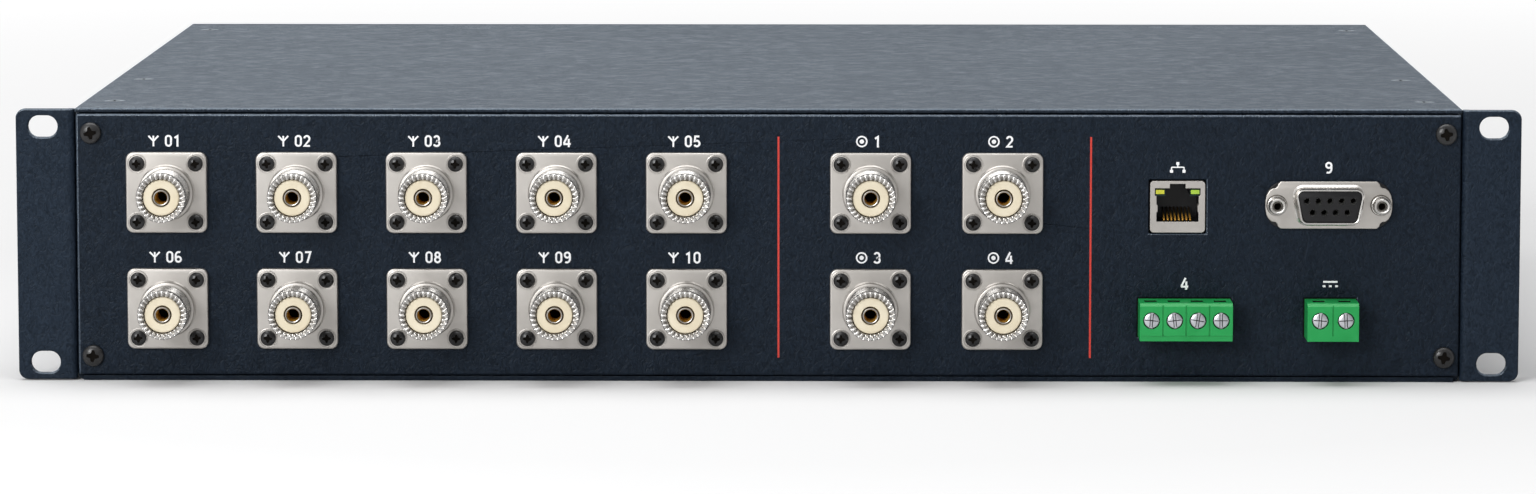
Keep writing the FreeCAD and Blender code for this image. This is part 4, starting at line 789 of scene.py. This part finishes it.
# A figure's strokes in a box 0.6 wide and 1 high; True closes a stroke.
FIGURES = {
    "0": [(arc(0.3, 0.7, 0.22, 0.22, 0, 180) + arc(0.3, 0.3, 0.22, 0.22, 180, 360), True)],
    "1": [([(0.1, 0.74), (0.34, 0.9), (0.34, 0.0)], False)],
    "2": [(arc(0.3, 0.68, 0.22, 0.24, 170, -35) + [(0.1, 0.08), (0.56, 0.08)], False)],
    "3": [(arc(0.28, 0.7, 0.21, 0.22, 160, -80) + arc(0.28, 0.29, 0.24, 0.21, 80, -160), False)],
    "4": [([(0.4, 1.0), (0.05, 0.32)], False), ([(0.0, 0.26), (0.62, 0.26)], False),
          ([(0.46, 0.7), (0.46, 0.0)], False)],
    "5": [([(0.5, 0.92), (0.16, 0.92), (0.12, 0.52)] + arc(0.29, 0.32, 0.23, 0.24, 120, -155),
           False)],
    "6": [(arc(0.3, 0.3, 0.22, 0.22, 90, 450), True),
          (arc(0.34, 0.62, 0.26, 0.3, 60, 180) + [(0.08, 0.3)], False)],
    "7": [([(0.06, 0.92), (0.52, 0.92), (0.24, 0.0)], False)],
    "8": [(arc(0.3, 0.71, 0.19, 0.2, 0, 360), True), (arc(0.3, 0.29, 0.22, 0.22, 0, 360), True)],
    "9": [(arc(0.3, 0.7, 0.22, 0.22, 0, 360), True),
          (arc(0.26, 0.38, 0.26, 0.3, 240, 360) + [(0.52, 0.7)], False)],
}


def number_mark(text, x, z):
    """Figures printed on the panel, centred at a place."""
    step, space, width = 0.72 * FIGURE, 0.12 * FIGURE, 0.165 * FIGURE
    left = x - (len(text) * step - space) / 2
    return [stroke([(left + i * step + u * FIGURE, z + (v - 0.5) * FIGURE)
                    for u, v in points[:-1 if shut else None]], width, shut)
            for i, figure in enumerate(text) for points, shut in FIGURES[figure]]


def bar_mark(x1, z1, x2, z2, width):
    return stroke([(x1, z1), (x2, z2)], width)


def ring_mark(x, z, radius, width):
    inner, outer = radius - width / 2, radius + width / 2
    return moved(turned("ring", [(inner, -HALF_INK), (outer, -HALF_INK), (outer, HALF_INK),
                                 (inner, HALF_INK)], 32, ring=True), x, PRINT, z)


def antenna_mark(x, z):
    """An aerial: a mast under a V."""
    return [bar_mark(x, z - 1.8, x, z + 1.6, 0.55), bar_mark(x, z - 0.1, x - 1.6, z + 1.6, 0.55),
            bar_mark(x, z - 0.1, x + 1.6, z + 1.6, 0.55)]


def radio_mark(x, z):
    """A ring round a dot."""
    return [ring_mark(x, z, 1.6, 0.5), ring_mark(x, z, 0.35, 0.7)]


def network_mark(x, z):
    """Three linked boxes."""
    boxes = [bar_mark(x + right - 0.5, z + up, x + right + 0.5, z + up, 0.95)
             for right, up in ((0, 1.3), (-2.0, -1.2), (2.0, -1.2))]
    return boxes + [bar_mark(x, z + 1.0, x, z + 0.1, 0.4),
                    bar_mark(x - 2.0, z + 0.1, x + 2.0, z + 0.1, 0.4),
                    bar_mark(x - 2.0, z + 0.1, x - 2.0, z - 0.8, 0.4),
                    bar_mark(x + 2.0, z + 0.1, x + 2.0, z - 0.8, 0.4)]


def direct_current_mark(x, z):
    """A line over three dashes."""
    dashes = [bar_mark(x + d - 0.45, z - 0.7, x + d + 0.45, z - 0.7, 0.6) for d in (-2.0, 0, 2.0)]
    return dashes + [bar_mark(x - 2.3, z + 0.7, x + 2.3, z + 0.7, 0.6)]


marks = []
for i, node in enumerate(sorted(antenna_sockets)):
    at = middle(node)
    rise = at.z + MARK_RISE
    marks += antenna_mark(at.x - 4.2, rise) + number_mark(f"{i + 1:02d}", at.x + 2.0, rise)
for i, node in enumerate(sorted(radio_sockets)):
    at = middle(node)
    rise = at.z + MARK_RISE
    marks += radio_mark(at.x - 2.8, rise) + number_mark(str(i + 1), at.x + 2.2, rise)
marks += network_mark(LAN_X, UPPER_ROW) + direct_current_mark(POWER_X, LOWER_ROW)
marks += number_mark("9", SERIAL_X, UPPER_ROW) + number_mark("4", DATA_X, LOWER_ROW)
for i, mark in enumerate(marks):
    moved(mark, y=-0.003 * (i % 5))  # so that strokes that cross don't share a plane
done(joined("printed_marks", marks), WHITE_INK)
for name, x in (("antenna_radio_line", 3.5), ("radio_data_line", 103.6)):
    done(bar_mark(x, 7.7, x, 79.1, 0.62), RED_INK).name = name


# Network socket

for node, name, width, segments, material, slot in (
        ("lan_shield", "network_shield_skin", 0.12, 3, SATIN_NICKEL, "nickel"),
        ("lan_housing", "network_housing_skin", 0.06, 2, BLACK_PLASTIC, "black_plastic"),
        ("lan_contacts", "network_contact_wires", 0.06, 2, WIRE_GOLD, "gold_contact"),
        ("lan_light_green", "green_light_lens", 0.15, 3, LIME, "green_light"),
        ("lan_light_amber", "amber_light_lens", 0.15, 3, AMBER, "amber_light")):
    done(softened(node, name, width, segments), material, stands_for=[node])

springs, lamps = [], []
for side in (-1, 1):
    bent = [(LAN_X + side * x, z) for x, z in ((6.75, 54.9), (6.45, 55.2), (6.45, 57.1),
                                               (6.75, 57.4), (7.0, 56.2))]
    springs.append(swept("spring", bent, -175.65, -170.0))
    inner, outer = sorted((side * 3.9, side * 7.25))
    box = [(LAN_X + x, z) for x, z in ((inner, 60.2), (outer, 60.2), (outer, 62.6), (inner, 62.6))]
    lamps.append(swept("lamp", box, -175.2, -172.0))
done(joined("network_shield_springs", springs), SATIN_NICKEL)
done(joined("network_lamp_bodies", lamps), TEAL_PLASTIC)


# Serial socket: its outlines are drawn about its own middle, and its pieces then moved

STANDOFF_X = 16.65


def d_outline(inset):
    """The socket's D shape, wider at the top."""
    top, low, half = 11.2 - inset, 9.2 - inset, 5.7 - inset
    return rounded([(-low, -half), (low, -half), (top, half), (-top, half)], 2.4 - inset, 5)


def d_loops(profile):
    """The D shape at pairs of an inset and a place along Y."""
    return [[(x, y, z) for x, z in d_outline(inset)] for inset, y in profile]


def notched_outline(inset):
    """The plate's outline, with an S-shaped notch at each corner."""
    quarter = [(15.4, 7.6), (16.2, 6.9), (16.5, 6.0), (17.1, 5.45), (18.2, 5.3), (19.2, 4.5),
               (19.9, 3.2), (20.3, 1.4)]
    half = quarter + [(x, -z) for x, z in reversed(quarter)]
    whole = half + [(-x, -z) for x, z in half]
    return rounded([(x * (1 - inset / 20.3), z * (1 - inset / 7.6)) for x, z in whole], 0.3, 2)


def oblong_outline(inset):
    """The outline of the black backing behind the plate."""
    return rounded(box_corners(0, 0, 40.6 - 2 * inset, 15.2 - 2 * inset), 6.2, 8)


def opened(piece, *holes):
    """A plate with its holes and the opening for the socket's rim, moved to its place."""
    opening = swept("opening", d_outline(0.7), -170, -180)
    return moved(drilled(piece, *holes, opening), SERIAL_X, 0, SERIAL_Z)


holes = [moved(turned("hole", [(0, -170), (1.6, -170), (1.6, -180), (0, -180)], 24), x)
         for x in (-STANDOFF_X, STANDOFF_X)]
done(opened(plate("serial_plate", notched_outline, -175.9, -176.8, 0.3), *holes),
     SATIN_NICKEL)
done(opened(plate("serial_backing", oblong_outline, FACE, -175.95, 0.2)),
     BLACK_PLASTIC)
d_rim = [(-0.9, -176.7), (-0.85, -176.95), (-0.55, -177.2), (-0.15, -177.5), (0.0, -177.9),
         (0.0, -182.4), (0.12, -182.7), (0.35, -182.8), (0.58, -182.7), (0.7, -182.4),
         (0.7, -176.7)]
done(moved(lofted("serial_rim", d_loops(d_rim), ring=True), SERIAL_X, 0, SERIAL_Z),
     BRIGHT_NICKEL, stands_for=["serial_shell"])

pins = [(3.7 * (i - (count - 1) / 2), up * 1.85)
        for count, up in ((5, 1), (4, -1)) for i in range(count)]
pin_places = [(SERIAL_X + x, 0, SERIAL_Z + z) for x, z in pins]
d_core = [(0.72, -158.7), (0.72, -181.9), (0.85, -182.1), (1.1, -182.2)]
sinks = [moved(turned("sink", [(0, -165), (1.02, -165), (1.02, -182.05), (1.2, -182.3),
                               (1.2, -183), (0, -183)], 24), x, 0, z) for x, z in pins]
core = drilled(lofted("serial_insulator", d_loops(d_core)), *sinks)
done(moved(core, SERIAL_X, 0, SERIAL_Z), BLACK_PLASTIC,
     stands_for=["serial_insulator"])
sleeve = turned("sleeve", [(0.9, -160.0), (1.01, -160.0), (1.01, -182.0), (0.97, -182.06),
                           (0.9, -181.9)], 24, ring=True)
done(placed("serial_contact_sleeves", sleeve, pin_places), TIN,
     stands_for=["serial_contacts"])
# Painted shade: a dark disc deep in each contact sleeve.
hollow = turned("hollow", [(0, -160.0), (0.89, -160.0), (0.89, -178.0), (0, -178.0)], 20)
done(placed("serial_contact_hollows", hollow, pin_places), PAINTED_SHADE)

posts = [(SERIAL_X - STANDOFF_X, 0, SERIAL_Z), (SERIAL_X + STANDOFF_X, 0, SERIAL_Z)]
post = turned("standoff", [(0, -170.5), (1.5, -170.5), (1.5, -170.6), (3.15, -170.6),
                           (3.15, -172.5), (1.5, -172.5), (1.5, -176.8), (3.15, -176.8),
                           (3.15, -178.4), (3.05, -178.6), (2.9, -178.65), (2.8, -178.6),
                           (2.75, -178.4), (2.65, -178.6), (2.65, -181.2), (2.58, -181.55),
                           (2.4, -181.76), (2.15, -181.8), (1.9, -181.7), (1.7, -181.45),
                           (1.42, -181.1), (1.42, -177.2), (0, -177.2)], 40)
done(placed("serial_standoff_posts", post, posts), BRIGHT_NICKEL,
     stands_for=["serial_standoffs"])
rings = [((1.2, 1.38)[i % 2], -181.05 + 0.18 * i) for i in range(20)]
threads = turned("thread", rings + [(1.41, -177.6), (1.41, -181.05)], 28, ring=True)
done(placed("serial_standoff_threads", threads, posts), STEEL_SHADE)
# Painted shade: a dark disc deep in each standoff's threaded hole.
hollow = turned("hollow", [(0, -177.5), (1.4, -177.5), (1.4, -179.0), (0, -179.0)], 24)
done(placed("serial_standoff_hollows", hollow, posts), PAINTED_SHADE)
# Painted shade: a thin dark ring round each post where it meets the plate.
seat = turned("seat", [(3.1, -176.7), (3.1, -176.84), (3.4, -176.84), (3.4, -176.7)], 40,
              ring=True)
done(placed("serial_standoff_seats", seat, posts), STEEL_SHADE)


# Terminal blocks

SLOT_FLOOR, SLOT_TOP = -187.3, -188.5
TURNS = (5, -7, 9, 0, 4, -3)  # how far each screw was left turned, in degrees
poles = sorted(n for n in nodes if "_terminal_screw_" in n)


def wire_entry(pole):
    """What is cut out of the top of a housing for the wire of a pole."""
    outline = [(-2, -183.4), (2, -183.4), (2, -178.8), (-2, -178.8)]
    return lofted("entry", [[(middle(pole).x + x, y, z) for x, y in outline] for z in (24.5, 28)])


def opening_shade(name, housing):
    """A dark frame of painted shade round a housing, where it comes through the panel."""
    low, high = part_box(housing)
    at, wide, tall = middle(housing), (high.x - low.x) / MM, (high.z - low.z) / MM
    return lofted(name, [[(x, y, z) for x, z in box_corners(at.x, at.z, wide + more, tall + more)]
                         for more, y in ((0.7, -174.95), (0.7, -175.04), (0.02, -175.04),
                                         (0.02, -174.95))], ring=True)


for kind in ("data", "power"):
    housing = f"{kind}_terminal_housing"
    entries = [wire_entry(pole) for pole in poles if pole.startswith(kind)]
    done(softened(housing, f"{kind}_terminal_block_skin", 0.16, cuts=entries), GREEN_PLASTIC,
         stands_for=[housing])
    done(opening_shade(f"{kind}_terminal_opening_gap", housing), PAINTED_SHADE)

# Painted shade: a dark sheet at the back wall of each wire entry.
liner = swept("liner", box_corners(0, 25.75, 3.9, 2.3), -179.1, -178.85)
done(placed("terminal_entry_shadows", liner, [(middle(n).x, 0, 0) for n in poles]), PAINTED_SHADE)
well = turned("well", [(2.54, -187.2), (2.54, -187.55), (2.68, -187.55), (2.68, -187.2)], 36,
              ring=True)
done(placed("terminal_well_shadows", well, axes(poles)), PAINTED_SHADE)


def slotted_screw(name):
    """A cheese-head screw with a wide slot and a thin one across it."""
    screw = turned(name, [(0, -182.2), (1.0, -182.2), (1.25, -182.5), (1.25, -186.05),
                          (2.5, -186.05), (2.5, -187.3), (2.42, -187.5), (2.25, -187.62),
                          (0, -187.66)], 36)
    return drilled(screw, *[swept("slot", box_corners(0, 0, wide, high), SLOT_FLOOR, SLOT_TOP)
                            for wide, high in ((1.06, 6), (6, 0.28))])


def slot_shadow():
    """Painted shade: the dark lines along a slotted cross head's slots."""
    return joined("shadow", [swept("line", box_corners(at, 0, wide, high), -187.62, -187.2)
                             for at, wide, high in ((-0.42, 0.22, 4.3), (0.42, 0.22, 4.3),
                                                    (0, 4.3, 0.22))])


for node, turn in zip(poles, TURNS):
    at = middle(node)
    done(moved(slotted_screw(node + "_piece"), at.x, 0, at.z, turn), ZINC, body=node,
         stands_for=[node])
    done(moved(slot_shadow(), at.x, 0, at.z, turn), PAINTED_SHADE, body=node).name = node + "_slots"


# The solids that stay, each in its own finish

for names, material in (
        (("flange_nuts", "board_screws"), ZINC), (("cover_screws", "ear_screws"), BLACK_OXIDE),
        (("coax_jumpers", ), JUMPER), (("terminal_bars", ), TIN),
        (("interface_board", "matrix_board"), BOARD),
        (("interface_standoffs", "matrix_spacers"), ZINC), (("matrix_relays", ), RELAY),
        (("ribbon_cable", ), RIBBON), (("controller_chip", ), BLACK_PLASTIC),
        ([n for n in nodes if "_clamp_" in n], TIN)):
    for name in names:
        nodes[name].data.materials.clear()
        nodes[name].data.materials.append(material)


# Floor, light and camera, in metres

def pale_floor():
    """A matt floor that a camera or a mirror sees nearly white, with the object's shadow kept."""
    material = bpy.data.materials.new("pale_floor")
    material.use_nodes = True
    tree = Tree(material.node_tree)
    direct, mirrored = tree.rays("Camera", "Glossy")
    x, y, z = tree.parts(tree.add("ShaderNodeTexCoord", output="Object"))
    far = (x * x + y * y).math("SQRT").step(0.35, 2.2)
    matt = tree.add("ShaderNodeBsdfDiffuse", {"Color": (0.8, 0.8, 0.803, 1.0)})
    glow = tree.add("ShaderNodeEmission",
                    {"Color": WHITE, "Strength": direct.math("MAXIMUM", mirrored) * far * 0.9})
    both = tree.add("ShaderNodeAddShader", {0: matt, 1: glow})
    tree.add("ShaderNodeOutputMaterial", {"Surface": both})
    return material


floor_mesh = bpy.data.meshes.new("floor")
floor_mesh.from_pydata([(-6, -5, 0), (6, -5, 0), (6, 9, 0), (-6, 9, 0)], [], [(0, 1, 2, 3)])
floor_mesh.materials.append(pale_floor())
floor = shown("floor", floor_mesh)

# The sky is white where it is seen and dim as a light. In reflections it grows brighter upward,
# backward and to both sides, with a cool glow behind the object that is stronger on the left.
DIM = 0.22
world = bpy.data.worlds.new("studio")
bpy.context.scene.world = world
world.use_nodes = True
sky = Tree(world.node_tree)
seen, mirrored, through = sky.rays("Camera", "Glossy", "Transmission")
way_x, way_y, way_z = sky.parts(sky.add("ShaderNodeTexCoord", output="Generated"))
behind = way_y.step(0.3, 0.9)
height = (way_z * 0.9 + way_x * (way_x * 0.45 - 0.2) + way_y * 0.5).step(-0.3, 0.55)
sheen = (0.32 + 0.68 * height) * (1.0 + behind * (0.5 - 0.5 * way_x.step(-0.25, 0.25)))
strength = DIM + seen.math("MAXIMUM", through) * (1 - DIM) + mirrored * (sheen - DIM)
cool = sky.mix(behind * mirrored, WHITE, (0.82, 0.91, 1.0, 1.0))
backdrop = sky.add("ShaderNodeBackground", {"Color": cool, "Strength": strength})
sky.add("ShaderNodeOutputWorld", {"Surface": backdrop})


def soft_box(name, place, size, power):
    """A rectangular lamp of a power in watts, aimed at the front half of the case."""
    lamp = bpy.data.lights.new(name, "AREA")
    lamp.shape, lamp.size, lamp.size_y, lamp.energy = "RECTANGLE", size[0], size[1], power
    light = shown(name, lamp)
    light.location = place
    aim = Vector((0.0, -0.1, 0.045)) - Vector(place)
    light.rotation_euler = aim.to_track_quat("-Z", "Y").to_euler()


soft_box("overhead", (-0.2, -0.15, 1.6), (1.6, 1.8), 28)
soft_box("front_left", (-1.1, -2.3, 0.95), (0.9, 0.9), 34)

tilt_down, turn_left = 6.594, 0.675
lens_data = bpy.data.cameras.new("camera")
lens_data.lens, lens_data.sensor_width = 138.85, 36.0
lens_data.clip_start, lens_data.clip_end = 0.05, 60.0
camera = shown("camera", lens_data)
camera.location = (0.0224, -2.0641, 0.2619)
camera.rotation_euler = (math.radians(90 - tilt_down), 0.0, math.radians(turn_left))
bpy.context.scene.camera = camera
bpy.context.scene.view_settings.view_transform = "Standard"
